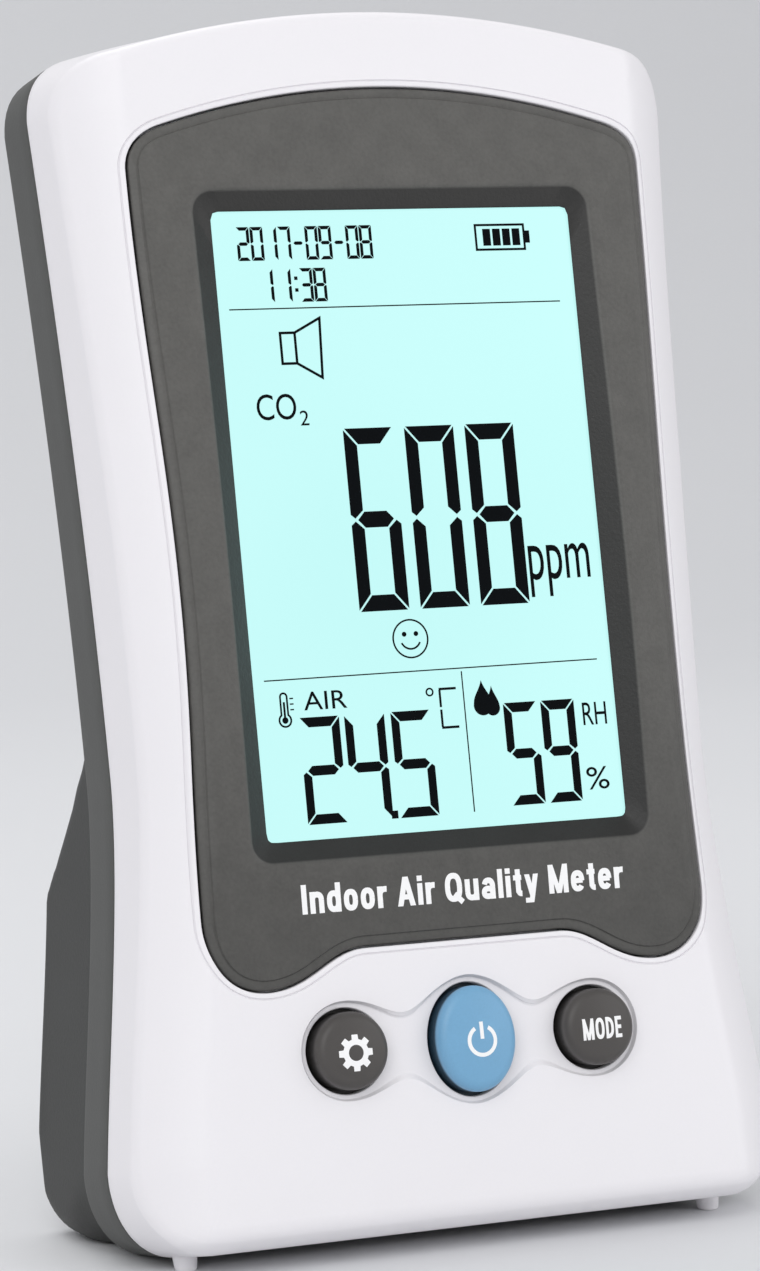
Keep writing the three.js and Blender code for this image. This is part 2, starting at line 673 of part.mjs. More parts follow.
function addBattery() {
  add("battery_cell", batteryCell(), CELL);
  const padFront = BATTERY.back + GAP;
  add("battery_pad", block(BATTERY.left + 8, BATTERY.right - 8, padFront, padFront + 1, 14, 37), FOAM);
  const { x, z, half } = PLUG;
  add("battery_socket", block(x - 4, x + 4, ON_BOARD, ON_BOARD + 1.2, z - half, z + half), WHITE);
  add("battery_plug", block(x - 3, x + 3, ON_BOARD + 1.5, ON_BOARD + 4.3, z - half, z + half), WHITE);
  add("battery_lead_red", batteryLead(-1.3), LEAD_RED);
  add("battery_lead_black", batteryLead(1.3), LEAD_BLACK);
}

function addFasteners() {
  const corners = [["left", -1], ["right", 1]];
  for (const [word, side] of corners) {
    CASE_SCREWS.forEach(({ x, z }, i) =>
      add("case_screw_" + ["top_", "bottom_"][i] + word, caseScrew(side * x, z), STEEL),
    );
    BOARD_SCREWS.forEach(({ x, z }, i) =>
      add("board_screw_" + ["bottom_", "top_"][i] + word, boardScrew(side * x, z), STEEL),
    );
  }
}

addCase();
addDisplay();
addButtons();
addElectronics();
addGasSensor();
addBattery();
addFasteners();

// Lean the case back, then stand it on the ground over its origin.
leaning.rotation.x = -LEAN;
const monitor = new THREE.Group();
monitor.add(leaning);
const reach = new THREE.Box3().setFromObject(leaning, true);
leaning.position.y = -(reach.min.y + reach.max.y) / 2;
leaning.position.z = -reach.min.z;

export default monitor;
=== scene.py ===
"""A desk-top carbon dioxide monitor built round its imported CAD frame.

The case is drawn upright in its own millimetres and then leant back with the CAD: x runs across it,
y from the flat face towards the back, and z up along the face.
"""
import math

import bmesh
import bpy
import numpy as np
from mathutils import Matrix, Vector
from mathutils.geometry import delaunay_2d_cdt


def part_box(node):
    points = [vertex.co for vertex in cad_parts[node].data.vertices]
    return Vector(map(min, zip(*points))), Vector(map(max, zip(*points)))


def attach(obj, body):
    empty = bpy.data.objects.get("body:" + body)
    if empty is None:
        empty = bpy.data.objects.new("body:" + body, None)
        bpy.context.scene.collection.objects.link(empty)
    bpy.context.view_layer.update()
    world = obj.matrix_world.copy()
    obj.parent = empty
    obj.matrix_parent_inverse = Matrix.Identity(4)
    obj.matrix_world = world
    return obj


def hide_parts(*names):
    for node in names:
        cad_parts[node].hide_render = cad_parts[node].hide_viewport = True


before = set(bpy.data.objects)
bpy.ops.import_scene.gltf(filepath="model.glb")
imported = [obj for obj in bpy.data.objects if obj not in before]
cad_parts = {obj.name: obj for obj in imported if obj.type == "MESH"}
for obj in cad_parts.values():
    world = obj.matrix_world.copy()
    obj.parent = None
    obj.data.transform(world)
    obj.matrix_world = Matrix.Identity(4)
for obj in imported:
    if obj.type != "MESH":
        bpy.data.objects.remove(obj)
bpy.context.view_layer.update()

# ---- Driving dimensions, in millimetres ----
MM = 0.001
LEAN = math.radians(10)
GAP = 0.3
HOLE_GAP = 0.5  # clearance round a button in its hole

CASE_HEIGHT = 156.4
HALF_FOOT = 45.3
HALF_WAIST = 40.3
WAIST_Z = 60.0
HALF_HEAD = 43.7
WALL = 2.0
PARTING_Y = 13.0
SIDE_DRAFT = 0.03
CROWN_DROP = 1.7
BOTTOM_RISE = 0.25
FACET_WIDTH = 8.3
CREASE_ROUND = 0.7  # half the width of the soft line between the face and a side facet
BOTTOM_BEVEL = 2.3
SWELL = {"high": 1.6, "middle": 80.0, "reach": 66.0}

RIM_FRONT = PARTING_Y + GAP
RIM_BACK = 23.0
FOOT_BACK = 41.5
FOOT_INSET = 0.9
PEG = {"x": 36.8, "y": 10.9, "top": 1.95, "tip": 1.4, "reach": 1.6}

WINDOW = {"half": 25.05, "low": 49.9, "high": 129.2}
RECESS_SLOPE = 2.6  # width of the sloping surround
RECESS_DEPTH = 0.6
BEZEL_BACK = 2.45
LEDGE_FRONT = 2.75
LEDGE_BACK = 4.4
LEDGE_WIDTH = 2.5
LCD = {"half": 28.5, "low": 45.4, "high": 133.0, "front": 0.9, "back": 3.1}

BUTTON_Z = 23.5
BUTTON_PITCH = 17.15
CAP_RADIUS = 4.85
CAP_PROUD = 2.7
POWER_HALF = (5.35, 6.65)  # the middle cap's half width and half height
STEM_END = 7.6  # depth at which a cap's stem meets its switch
BUTTON_RECESS = 0.45
RING = {"side": 6.05, "wide": 6.75, "tall": 7.9, "blend": 11.4}  # the hollow round each button

# Each pair of screws: how far across and up, and the depth at which their wells open.
SCREWS = {"top": (34.0, 141.5, RIM_BACK), "bottom": (36.0, 15.0, FOOT_BACK)}
SCREW_SEAT = 17.0
SCREW_HEAD = 2.6
SCREW_POST = 4.1
SCREW_HOLE = 1.7  # radius of the way through for a screw's shaft
VENT = {"columns": 8, "pitch": 4.6, "half": 1.1, "banks": ((82, 98), (104, 120))}
LABEL = {"half": 22.0, "low": 17.0, "high": 39.0, "pocket": 0.6}
USB = {"y": 15.9, "z": 33.0, "half_y": 1.7, "half_z": 4.1}


def case_matrix():
    """From the case's own millimetres to the row frame's metres, read off the display panel."""
    corner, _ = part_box("lcd_panel")
    y = corner.y - (LCD["front"] * math.cos(LEAN) + LCD["low"] * math.sin(LEAN)) * MM
    z = corner.z - (LCD["low"] * math.cos(LEAN) - LCD["back"] * math.sin(LEAN)) * MM
    return (
        Matrix.Translation((0, y, z))
        @ Matrix.Rotation(-LEAN, 4, "X")
        @ Matrix.Diagonal((MM, MM, MM, 1))
    )


CASE = case_matrix()


# ---- Outlines ----
def bezier(points, count):
    """A Bezier curve of any degree through its end points, without its first point."""
    t = np.linspace(0, 1, count + 1)[1:, None]
    layers = [np.asarray(p, float)[None, :] * np.ones_like(t) for p in points]
    while len(layers) > 1:
        layers = [a * (1 - t) + b * t for a, b in zip(layers, layers[1:])]
    return layers[0]


LINE_PARTS = 12  # parts in a straight side of an outline


def half_outline(start, *curves, count=60):
    """Points from start through curves, each a list of the control points after the last end."""
    points = [np.asarray([start], float)]
    for controls in curves:
        parts = count if len(controls) > 1 else LINE_PARTS
        points.append(bezier([points[-1][-1], *controls], parts))
    return np.concatenate(points)


def mirrored(half):
    """A closed outline from its right half, drawn from the bottom centre to the top centre."""
    return np.concatenate([half, half[1:-1][::-1] * (-1, 1)])


CASE_HALF = half_outline(
    (0, 0),
    [(37, 0)],
    [(41.5, 0), (HALF_FOOT, 4.2), (HALF_FOOT, 11)],
    [(HALF_FOOT - 1.3, 24), (HALF_WAIST - 0.1, 46), (HALF_WAIST, WAIST_Z)],
    [(HALF_WAIST + 0.2, 85), (HALF_HEAD - 2, 112), (HALF_HEAD, 143)],
    [(HALF_HEAD - 0.1, 149.8), (37.8, 151.2)],
    [(18.9, CASE_HEIGHT), (0, CASE_HEIGHT)],
)
CASE_OUTLINE = mirrored(CASE_HALF)
CASE_POINTS = 420  # points round the case
BEZEL_OUTLINE = mirrored(half_outline(
    (0, 36.3),
    [(13.5, 36.3)],
    [(18.5, 36.3), (21, 31.8), (27, 31.8)],
    [(31.5, 31.8), (34.5, 35.2), (34.6, 40.5)],
    [(34.5, 52), (33.8, 62), (33.8, 76)],
    [(33.8, 98), (35.4, 112), (35.6, 134.5)],
    [(35.7, 138.4), (31.2, 139.9)],
    [(15.6, 144.7), (0, 144.7)],
))


def resampled(points, count):
    """A closed outline with evenly spaced points, starting where it started."""
    closed = np.concatenate([points, points[:1]])
    along = np.concatenate([[0], np.cumsum(np.linalg.norm(np.diff(closed, axis=0), axis=1))])
    t = np.linspace(0, along[-1], count, endpoint=False)
    return np.stack([np.interp(t, along, closed[:, i]) for i in (0, 1)], axis=1)


def normals_in(points):
    """Unit normals that point into an anticlockwise outline."""
    along = np.roll(points, -1, axis=0) - np.roll(points, 1, axis=0)
    inward = np.stack([-along[:, 1], along[:, 0]], axis=1)
    return inward / np.linalg.norm(inward, axis=1, keepdims=True)


def inset(points, distance):
    distance = np.broadcast_to(np.asarray(distance, float), len(points))
    return points + normals_in(points) * distance[:, None]


def at_angles(points, centre, angles):
    """Where rays from a centre meet a closed outline that they each cross once."""
    turned = points - centre
    around = np.unwrap(np.arctan2(turned[:, 1], turned[:, 0]))
    order = np.argsort(around % (2 * math.pi))
    key = (around % (2 * math.pi))[order]
    key = np.concatenate([key[-1:] - 2 * math.pi, key, key[:1] + 2 * math.pi])
    ring = np.concatenate([points[order][-1:], points[order], points[order][:1]])
    wanted = angles % (2 * math.pi)
    return np.stack([np.interp(wanted, key, ring[:, i]) for i in (0, 1)], axis=1)


def shared_angles(centre, *outlines):
    """Angles dense enough for every outline's own corners."""
    found = []
    for points, count in outlines:
        even = resampled(points, count) - centre
        found.append(np.arctan2(even[:, 1], even[:, 0]))
    angles = np.sort(np.concatenate(found))
    keep = np.concatenate([[True], np.diff(angles) > 0.003])
    return angles[keep]


def rounded_rectangle(half, low, high, radius, count):
    near = radius * 0.45
    return mirrored(half_outline(
        (0, low),
        [(half - radius, low)],
        [(half - near, low), (half, low + near), (half, low + radius)],
        [(half, high - radius)],
        [(half, high - near), (half - near, high), (half - radius, high)],
        [(0, high)],
        count=count,
    ))


def grown(opening, by, radius, count=24):
    """The outline of a window, panel or label, larger by some distance all round."""
    return rounded_rectangle(opening["half"] + by, opening["low"] - by, opening["high"] + by, radius, count)


def ellipse(x, z, half_width, half_height, count=96):
    t = np.linspace(0, 2 * math.pi, count, endpoint=False)
    return np.stack([x + half_width * np.cos(t), z + half_height * np.sin(t)], axis=1)


# ---- The shape of the face ----
SIDE = CASE_HALF[(CASE_HALF[:, 1] >= 11) & (CASE_HALF[:, 1] <= 143)]


def half_width_at(z):
    return np.interp(z, SIDE[:, 1], SIDE[:, 0])


def softly_positive(d, r):
    """max(0, d) with its corner rounded over plus and minus r."""
    return np.where(d <= -r, 0, np.where(d >= r, d, (d + r) ** 2 / (4 * r)))


def face_depth(x, z):
    """The face's y: a strip that swells forwards, facets each side and a bevel at the bottom."""
    offset = np.minimum(1, np.abs(z - SWELL["middle"]) / SWELL["reach"])
    swell = SWELL["high"] * np.cos(offset * math.pi / 2) ** 2
    d = softly_positive(np.abs(x) - (half_width_at(z) - FACET_WIDTH), CREASE_ROUND)
    return 0.45 * d + 0.0467 * d**2 + softly_positive(BOTTOM_BEVEL - z, 0.9) - swell


def drafted(points, y):
    """The case's outline in front of the parting plane, where its walls close in."""
    k = (PARTING_Y - np.asarray(y, float)) / PARTING_Y
    shrink = (CROWN_DROP + BOTTOM_RISE) / CASE_HEIGHT
    x = points[:, 0] * (1 - SIDE_DRAFT * k)
    z = BOTTOM_RISE * k + points[:, 1] * (1 - shrink * k)
    return np.stack([x, z], axis=1)


def floor_at(y):
    return -PEG["reach"] + (y - PEG["y"]) * math.tan(LEAN)


# ---- Meshes ----
def ring3(points, y):
    """An outline in x and z as a ring of points at depth y, which may vary round it."""
    y = np.broadcast_to(np.asarray(y, float), len(points))
    return np.stack([points[:, 0], y, points[:, 1]], axis=1)


def on_face(points, under=0.0):
    """An outline as a ring that follows the face, some depth under it."""
    return ring3(points, face_depth(*points.T) + under)


def across_face(start, end, count):
    """Rings on the face from one outline to another, without the first."""
    return [on_face(start * (1 - t) + end * t) for t in np.linspace(0, 1, count)[1:]]


def linked(name, data):
    """A new object in the scene."""
    obj = bpy.data.objects.new(name, data)
    bpy.context.scene.collection.objects.link(obj)
    return obj


def discard(obj):
    mesh = obj.data
    bpy.data.objects.remove(obj)
    bpy.data.meshes.remove(mesh)


def evaluated(obj):
    """The mesh of an object with its modifiers applied, or of a text."""
    graph = bpy.context.evaluated_depsgraph_get()
    return bpy.data.meshes.new_from_object(obj.evaluated_get(graph))


def new_object(name, verts, faces, smooth=35):
    """A piece from points in the case's own millimetres."""
    mesh = bpy.data.meshes.new(name)
    mesh.from_pydata([tuple(v) for v in np.asarray(verts, float)], [], faces)
    mesh.transform(CASE)
    bm = bmesh.new()
    bm.from_mesh(mesh)
    bmesh.ops.remove_doubles(bm, verts=bm.verts, dist=1e-7)
    bmesh.ops.recalc_face_normals(bm, faces=bm.faces)
    bm.to_mesh(mesh)
    bm.free()
    obj = linked(name, mesh)
    shade(mesh, smooth)
    return obj


BROAD = 3e-6  # square metres: a face this large keeps its own flat shading


def shade(mesh, smooth):
    """Smooth shading, except across edges sharper than an angle in degrees and round broad faces."""
    mesh.polygons.foreach_set("use_smooth", [True] * len(mesh.polygons))
    mesh.set_sharp_from_angle(angle=math.radians(smooth))
    bm = bmesh.new()
    bm.from_mesh(mesh)
    for edge in bm.edges:
        broad = max((face.calc_area() for face in edge.link_faces), default=0) > BROAD
        if broad and edge.calc_face_angle(0) > math.radians(2):
            edge.smooth = False
    bm.to_mesh(mesh)
    bm.free()
    mesh.update()


def skin(name, rings, closed=False, smooth=35):
    """A body through rings of equal length: closed on themselves, or with flat ends."""
    count, total = len(rings[0]), len(rings)
    faces = []
    for r in range(total if closed else total - 1):
        a, b = r * count, ((r + 1) % total) * count
        for i in range(count):
            j = (i + 1) % count
            faces.append((a + i, a + j, b + j, b + i))
    if not closed:
        faces.append(tuple(range(count))[::-1])
        faces.append(tuple(range((total - 1) * count, total * count)))
    return new_object(name, np.concatenate(rings), faces, smooth)


def cut_with(obj, *cutters, operation="DIFFERENCE", smooth=35):
    """Cut or join obj with other bodies, which are used up."""
    for cutter in cutters:
        modifier = obj.modifiers.new("cut", "BOOLEAN")
        modifier.operation = operation
        modifier.solver = "EXACT"
        modifier.object = cutter
    mesh = evaluated(obj)
    obj.modifiers.clear()
    old = obj.data
    obj.data = mesh
    mesh.name = obj.name
    bpy.data.meshes.remove(old)
    for cutter in cutters:
        discard(cutter)
    shade(mesh, smooth)
    return obj


def prism(name, points, y0, y1, lip=0.0):
    """A straight-sided body through an outline, flaring by lip over its first and last bit."""
    if not lip:
        return skin(name, [ring3(points, y0), ring3(points, y1)])
    wide = inset(points, -lip)
    rings = [ring3(points, y0), ring3(points, y1 - lip), ring3(wide, y1), ring3(wide, y1 + 1)]
    return skin(name, rings)


def turned(name, profile, x, z, wide=1.0, tall=1.0, count=72):
    """A body turned about an axis along y, from (radius, y) pairs whose ends lie on the axis."""
    t = np.linspace(0, 2 * math.pi, count, endpoint=False)
    verts = [(x, profile[0][1], z)]
    for radius, y in profile[1:-1]:
        for a in t:
            verts.append((x + radius * wide * math.cos(a), y, z + radius * tall * math.sin(a)))
    verts.append((x, profile[-1][1], z))
    bands = len(profile) - 3
    last = 1 + bands * count
    faces = []
    for i in range(count):
        j = (i + 1) % count
        faces.append((0, 1 + i, 1 + j))
        for a in range(1, last, count):
            faces.append((a + i, a + count + i, a + count + j, a + j))
        faces.append((last + j, last + i, len(verts) - 1))
    return new_object(name, verts, faces)


def arc(centre, radius, start, end, count):
    """Points on an arc, angles in degrees."""
    t = np.radians(np.linspace(start, end, count))
    return [(centre[0] + radius * math.cos(a), centre[1] + radius * math.sin(a)) for a in t]


# ---- Front shell ----
FACE_CENTRE = np.array((0.0, 80.0))
BEAD = ((0.8, 0.22), (0.7, 0.22), (0.62, 0.0))  # the fine line round the frame: how far out, how deep


def edge_radius(points):
    """The rounding of the case's front edge: soft at the bottom, crisper up the sides."""
    up = np.clip(points[:, 1] / 14, 0, 1)
    top = np.clip((points[:, 1] - 140) / 8, 0, 1)
    return 1.7 * (1 - up) + 0.9 * up * (1 - top) + 1.3 * top


CAPS = {
    "settings": (-BUTTON_PITCH, CAP_RADIUS, CAP_RADIUS),
    "power": (0.0, *POWER_HALF),
    "mode": (BUTTON_PITCH, CAP_RADIUS, CAP_RADIUS),
}
FLANGE = 1.22  # a cap's flange as a fraction of its radius


def front_shell():
    outlines = ((CASE_OUTLINE, CASE_POINTS), (BEZEL_OUTLINE, 300))
    angles = shared_angles(FACE_CENTRE, *outlines)
    outer, opening = (at_angles(points, FACE_CENTRE, angles) for points, _ in outlines)
    radius = edge_radius(outer)
    edge = face_depth(*drafted(outer, 6).T) + radius
    lip = 0.3
    rings = []
    for turn in np.radians((90, 60, 30, 0)):
        eased = inset(outer, lip * (1 - math.cos(turn)))
        rings.append(ring3(eased, PARTING_Y - lip * (1 - math.sin(turn))))
    for t in np.linspace(0, 1, 7)[1:]:
        y = (PARTING_Y - lip) * (1 - t) + edge * t
        rings.append(ring3(drafted(outer, y), y))
    base = drafted(outer, edge)
    inward = normals_in(outer)
    for turn in np.radians(np.linspace(0, 90, 9))[1:]:
        points = base + inward * (radius * (1 - math.cos(turn)))[:, None]
        rings.append(on_face(points, radius * (1 - math.sin(turn))))
    rings += across_face(base + inward * radius[:, None], inset(opening, -(GAP + 0.88)), 36)
    seam = 0.22
    for out, under in (*BEAD, (seam, 0.0)):
        rings.append(on_face(inset(opening, -(GAP + out)), under))
    for turn in np.radians((30, 60, 90)):
        points = inset(opening, -(GAP + seam * (1 - math.sin(turn))))
        rings.append(on_face(points, seam * (1 - math.cos(turn))))
    ledge = inset(opening, LEDGE_WIDTH)
    rings += [
        ring3(inset(opening, -GAP), LEDGE_FRONT),
        ring3(ledge, LEDGE_FRONT),
        ring3(ledge, LEDGE_BACK),
        ring3(inset(opening, -1.5), LEDGE_BACK),
        ring3(inset(opening, -1.6), face_depth(*opening.T) + WALL),
        ring3(inset(base, WALL + 0.4), edge + WALL + 1.5),
        ring3(inset(outer, WALL), PARTING_Y),
    ]
    shell = skin("front_shell_skin", rings, closed=True)

    cutters = [cloud_cutter()]
    for x, wide, tall in CAPS.values():
        cutters.append(hole_cutter(ellipse(x, BUTTON_Z, wide + HOLE_GAP, tall + HOLE_GAP)))
        room = ellipse(x, BUTTON_Z, wide * FLANGE + 0.8, tall * FLANGE + 0.8)
        cutters.append(prism("room", room, WALL + 0.05, PARTING_Y + 1))
    cut_with(shell, *cutters)
    return cut_with(shell, front_peg(-1), front_peg(1), operation="UNION", smooth=40)


def hole_cutter(points):
    lip = 0.2
    rings = [
        ring3(inset(points, -lip - 0.35), BUTTON_RECESS - 0.35),
        ring3(inset(points, -lip * 0.3), BUTTON_RECESS + lip * 0.3),
        ring3(points, BUTTON_RECESS + lip),
        ring3(points, 8),
    ]
    return skin("hole", rings)


def cloud_outline(grow):
    """The hollow round the three buttons: a ring round each, flowing into one another."""
    reach = BUTTON_PITCH + RING["side"] + grow
    x = np.sin(np.linspace(-math.pi / 2, math.pi / 2, 241)) * reach

    def distance(z, centre, wide, tall):
        return (np.hypot((x - centre) / wide, z / tall) - 1) * wide

    def outside(z):
        sides = [distance(z, side * BUTTON_PITCH, RING["side"], RING["side"]) for side in (-1, 1)]
        near = np.minimum(*sides)
        middle = distance(z, 0, RING["wide"], RING["tall"])
        mix = np.clip(1 - np.abs(near - middle) / RING["blend"], 0, None)
        return np.minimum(near, middle) - mix**2 * RING["blend"] / 4

    low, high = np.zeros_like(x), np.full_like(x, RING["tall"] + 3)
    for _ in range(40):
        half = (low + high) / 2
        inside = outside(half) < grow
        low, high = np.where(inside, half, low), np.where(inside, high, half)
    upper = np.stack([x, BUTTON_Z + low], axis=1)[1:-1]
    lower = np.stack([x, BUTTON_Z - low], axis=1)[1:-1]
    left = np.array([(-reach, BUTTON_Z)])
    right = np.array([(reach, BUTTON_Z)])
    return np.concatenate([left, lower, right, upper[::-1]])


def cloud_cutter():
    rings = [on_face(cloud_outline(grow), under) for grow, under in ((0.4, -0.6), (0.12, 0.12), (0.0, 0.3))]
    for grow, y in ((-0.02, BUTTON_RECESS - 0.1), (-0.12, BUTTON_RECESS)):
        rings.append(ring3(cloud_outline(grow), y))
    return skin("cloud", rings)


def front_peg(side):
    """A short tapered peg, cut level with the ground."""
    root, tip = 3.0, PEG["tip"]
    rings = []
    for radius, lift in ((tip - 0.35, 0), (tip - 0.1, 0.1), (tip, 0.35), (PEG["top"], root)):
        x, y = ellipse(side * PEG["x"], PEG["y"], radius, radius, 40).T
        level = floor_at(y) + lift if lift < root else np.full_like(y, root)
        rings.append(np.stack([x, y, level], axis=1))
    return skin("peg", rings)


# ---- Display ----
RECT_CENTRE = np.array((0.0, 89.0))
FRAME_LINE = ((0.85, 0.12), (1.0, 0.19), (1.12, 0.19), (1.27, 0.0))  # how far in, how deep


def display_bezel():
    """The frame, with a fine line inside its edge and a slope down to the display."""
    angles = shared_angles(RECT_CENTRE, (BEZEL_OUTLINE, 360), (grown(WINDOW, 0, 0.9), 260))
    outer = at_angles(BEZEL_OUTLINE, RECT_CENTRE, angles)

    def rectangle(by, radius, opening=WINDOW):
        return at_angles(grown(opening, by, radius), RECT_CENTRE, angles)

    pocket = rectangle(GAP, 0.7, LCD)
    rings = [ring3(pocket, RECESS_DEPTH + 0.05), ring3(pocket, BEZEL_BACK), ring3(outer, BEZEL_BACK)]
    edge = 0.25
    for turn in np.radians((0, 30, 60, 90)):
        points = inset(outer, edge * (1 - math.cos(turn)))
        rings.append(on_face(points, edge * (1 - math.sin(turn)) + FRAME_LINE[0][1]))
    for grow, under in FRAME_LINE:
        rings.append(on_face(inset(outer, grow), under))
    rings += across_face(inset(outer, FRAME_LINE[-1][0]), rectangle(RECESS_SLOPE + 0.5, 3.0), 16)
    for out, under in ((0.30, 0.03), (0.12, 0.10), (-0.05, 0.26)):
        rings.append(on_face(rectangle(RECESS_SLOPE + out, 2.8), under))
    rings.append(ring3(rectangle(0.12, 1.0), RECESS_DEPTH - 0.12))
    rings.append(ring3(rectangle(0.0, 0.9), RECESS_DEPTH))
    return skin("display_bezel_skin", rings, closed=True, smooth=32)


def lcd_panel():
    return prism("lcd_panel_skin", grown(LCD, 0, 0.4, 4), LCD["front"], LCD["back"])


# ---- Buttons ----
CAP_FLAT = 0.74  # the gently domed part of a cap's top, as a fraction of its radius
CAP_DOME = 0.35
CAP_EDGE = 1.15


def cap_profile(radius):
    """Half the section of a cap, its radius as a fraction of the cap's own."""
    stem = 1.9 / radius
    profile = [(0, -CAP_PROUD)]
    for t in np.linspace(0, 1, 9)[1:]:
        profile.append((CAP_FLAT * t, -CAP_PROUD + CAP_DOME * t**2))
    for a in np.radians(np.linspace(75, 0, 8)):
        r = CAP_FLAT + (1 - CAP_FLAT) * math.cos(a)
        profile.append((r, -CAP_PROUD + CAP_DOME + CAP_EDGE * (1 - math.sin(a))))
    under = WALL + GAP
    profile += [(1, under), (FLANGE, under), (FLANGE, under + 1), (stem, under + 1)]
    return profile + [(stem, STEM_END), (0, STEM_END)]


def button_cap(word):
    x, wide, tall = CAPS[word]
    return turned(word + "_cap_skin", cap_profile(CAP_RADIUS), x, BUTTON_Z, wide, tall, count=96)


def cap_surface(word):
    x0, wide, tall = CAPS[word]

    def y_at(x, z):
        r2 = ((x - x0) / wide) ** 2 + ((z - BUTTON_Z) / tall) ** 2
        return -CAP_PROUD + CAP_DOME * r2 / CAP_FLAT**2

    return y_at


# ---- Rear shell ----
CASE_RING = resampled(CASE_OUTLINE, CASE_POINTS)


def rim_body(wall=0.0):
    """The band behind the parting plane, or with a wall the hollow inside it."""
    back = RIM_BACK - wall
    if wall:
        steps = [(PARTING_Y - 1, 0), (back - 1, 0.2), (back - 0.3, 0.5), (back, 1.2)]
    else:
        seam_end, corner, draft = RIM_FRONT + 0.25, 1.6, 0.2
        steps = [
            (RIM_FRONT - 0.2, 0.8), (RIM_FRONT, 0.55), (RIM_FRONT, 0.25),
            (RIM_FRONT + 0.07, 0.07), (seam_end, 0.0),
        ]
        for t in np.linspace(0, 1, 4)[1:]:
            steps.append((seam_end + t * (back - corner - seam_end), draft * t))
        for a in np.radians(np.linspace(0, 90, 10))[1:]:
            steps.append((back - corner * (1 - math.sin(a)), draft + corner * (1 - math.cos(a))))
    rings = [ring3(inset(CASE_RING, wall + edge), y) for y, edge in steps]
    return skin("rear_shell_skin" if not wall else "rim_hollow", rings)


HEEL = 36.0  # where the foot's underside begins to rise, and where its top begins to round over
SHOULDER = 38.6
SLOPE = {"top": 67.0, "end": 50.6}
FOOT_CORNER = {"rim": 11.0, "back": 5.0, "blend": 9.0}  # rounding of the lower corners, along the depth


def rounded_end(y, start, first, middle, last):
    """A height that curves from first by middle to last, as y goes from start to the foot's back."""
    t = 1 - math.sqrt(max(0, 1 - (y - start) / (FOOT_BACK - start)))
    return first * (1 - t) ** 2 + 2 * middle * t * (1 - t) + last * t**2


def foot_low(y):
    """The foot's underside: along the ground, then up round the heel."""
    return floor_at(y) if y <= HEEL else rounded_end(y, HEEL, floor_at(HEEL), floor_at(FOOT_BACK), 10.5)


def foot_high(y):
    """The foot's upper side: down a slope from the back, then round a shoulder."""
    if y <= SHOULDER:
        return SLOPE["top"] - (y - RIM_BACK) * (SLOPE["top"] - SLOPE["end"]) / (SHOULDER - RIM_BACK)
    return rounded_end(y, SHOULDER, SLOPE["end"], 47.6, 43.0)


def foot_section(y, edge, low, high):
    """The foot across its width at one depth: the case's outline closed by a round-cornered top."""
    half = inset(CASE_OUTLINE, FOOT_INSET + edge)[: len(CASE_HALF)]
    half = half[half[:, 1] < 120] + (0, floor_at(y) - FOOT_INSET - edge)
    corner = 3.0
    level = half[:, 1].min()
    behind = min(1, max(0, (y - RIM_BACK) / FOOT_CORNER["blend"]))
    tighter = behind * behind * (3 - 2 * behind)
    sole = FOOT_CORNER["rim"] - (FOOT_CORNER["rim"] - FOOT_CORNER["back"]) * tighter
    side = half[(half[:, 1] > level + FOOT_CORNER["rim"]) & (half[:, 1] < high - corner)]
    under = arc((side[0, 0] - 0.1 - sole, level + sole), sole, -90, 0, 12)
    x, z = side[-1]
    controls = [(x, z), (x, high - corner * 0.42), (x - corner * 0.58, high), (x - corner, high)]
    points = np.concatenate([[(0, level)], under, side, bezier(controls, 14), [(0, high)]])
    bottom = points[:, 1].min()
    points[:, 1] = low + (points[:, 1] - bottom) * (high - low) / (high - bottom)
    return ring3(resampled(mirrored(points), 300), y)


def foot_body(wall=0.0):
    """The foot, or with a wall the hollow inside it."""
    roll = 1.9
    back = FOOT_BACK - wall
    turn = HEEL - wall
    round_the_heel = turn + (back - turn) * np.sin(np.radians(np.linspace(0, 90, 16)))[1:]
    rings = []
    for y in (*np.linspace(RIM_BACK - 3.5, turn, 9), *round_the_heel):
        u = max(0, y - (back - roll)) / roll
        draft = 0.3 * (y - RIM_BACK) / (FOOT_BACK - RIM_BACK)
        edge = draft + roll * (1 - math.sqrt(max(0, 1 - u * u)))
        further = min(y + wall, FOOT_BACK)
        low = max(foot_low(y) + wall, foot_low(further))
        high = min(foot_high(y) - 1.45 * wall, foot_high(further))
        rings.append(foot_section(y, edge + wall, low, high))
    return skin("foot", rings)


def prism_x(name, points, x0, x1):
    """A straight-sided body along x through an outline in y and z."""
    return skin(name, [np.insert(points, 0, x, axis=1) for x in (x0, x1)])


def vent_cutters():
    cutters = []
    half, columns = VENT["half"], VENT["columns"]
    for low, high in VENT["banks"]:
        for i in range(columns):
            x = (i - (columns - 1) / 2) * VENT["pitch"]
            slot = rounded_rectangle(half, low, high, half * 0.98, 8) + (x, 0)
            cutters.append(prism("slot", slot, RIM_BACK - WALL - 0.5, RIM_BACK + 0.04, lip=0.3))
    return cutters


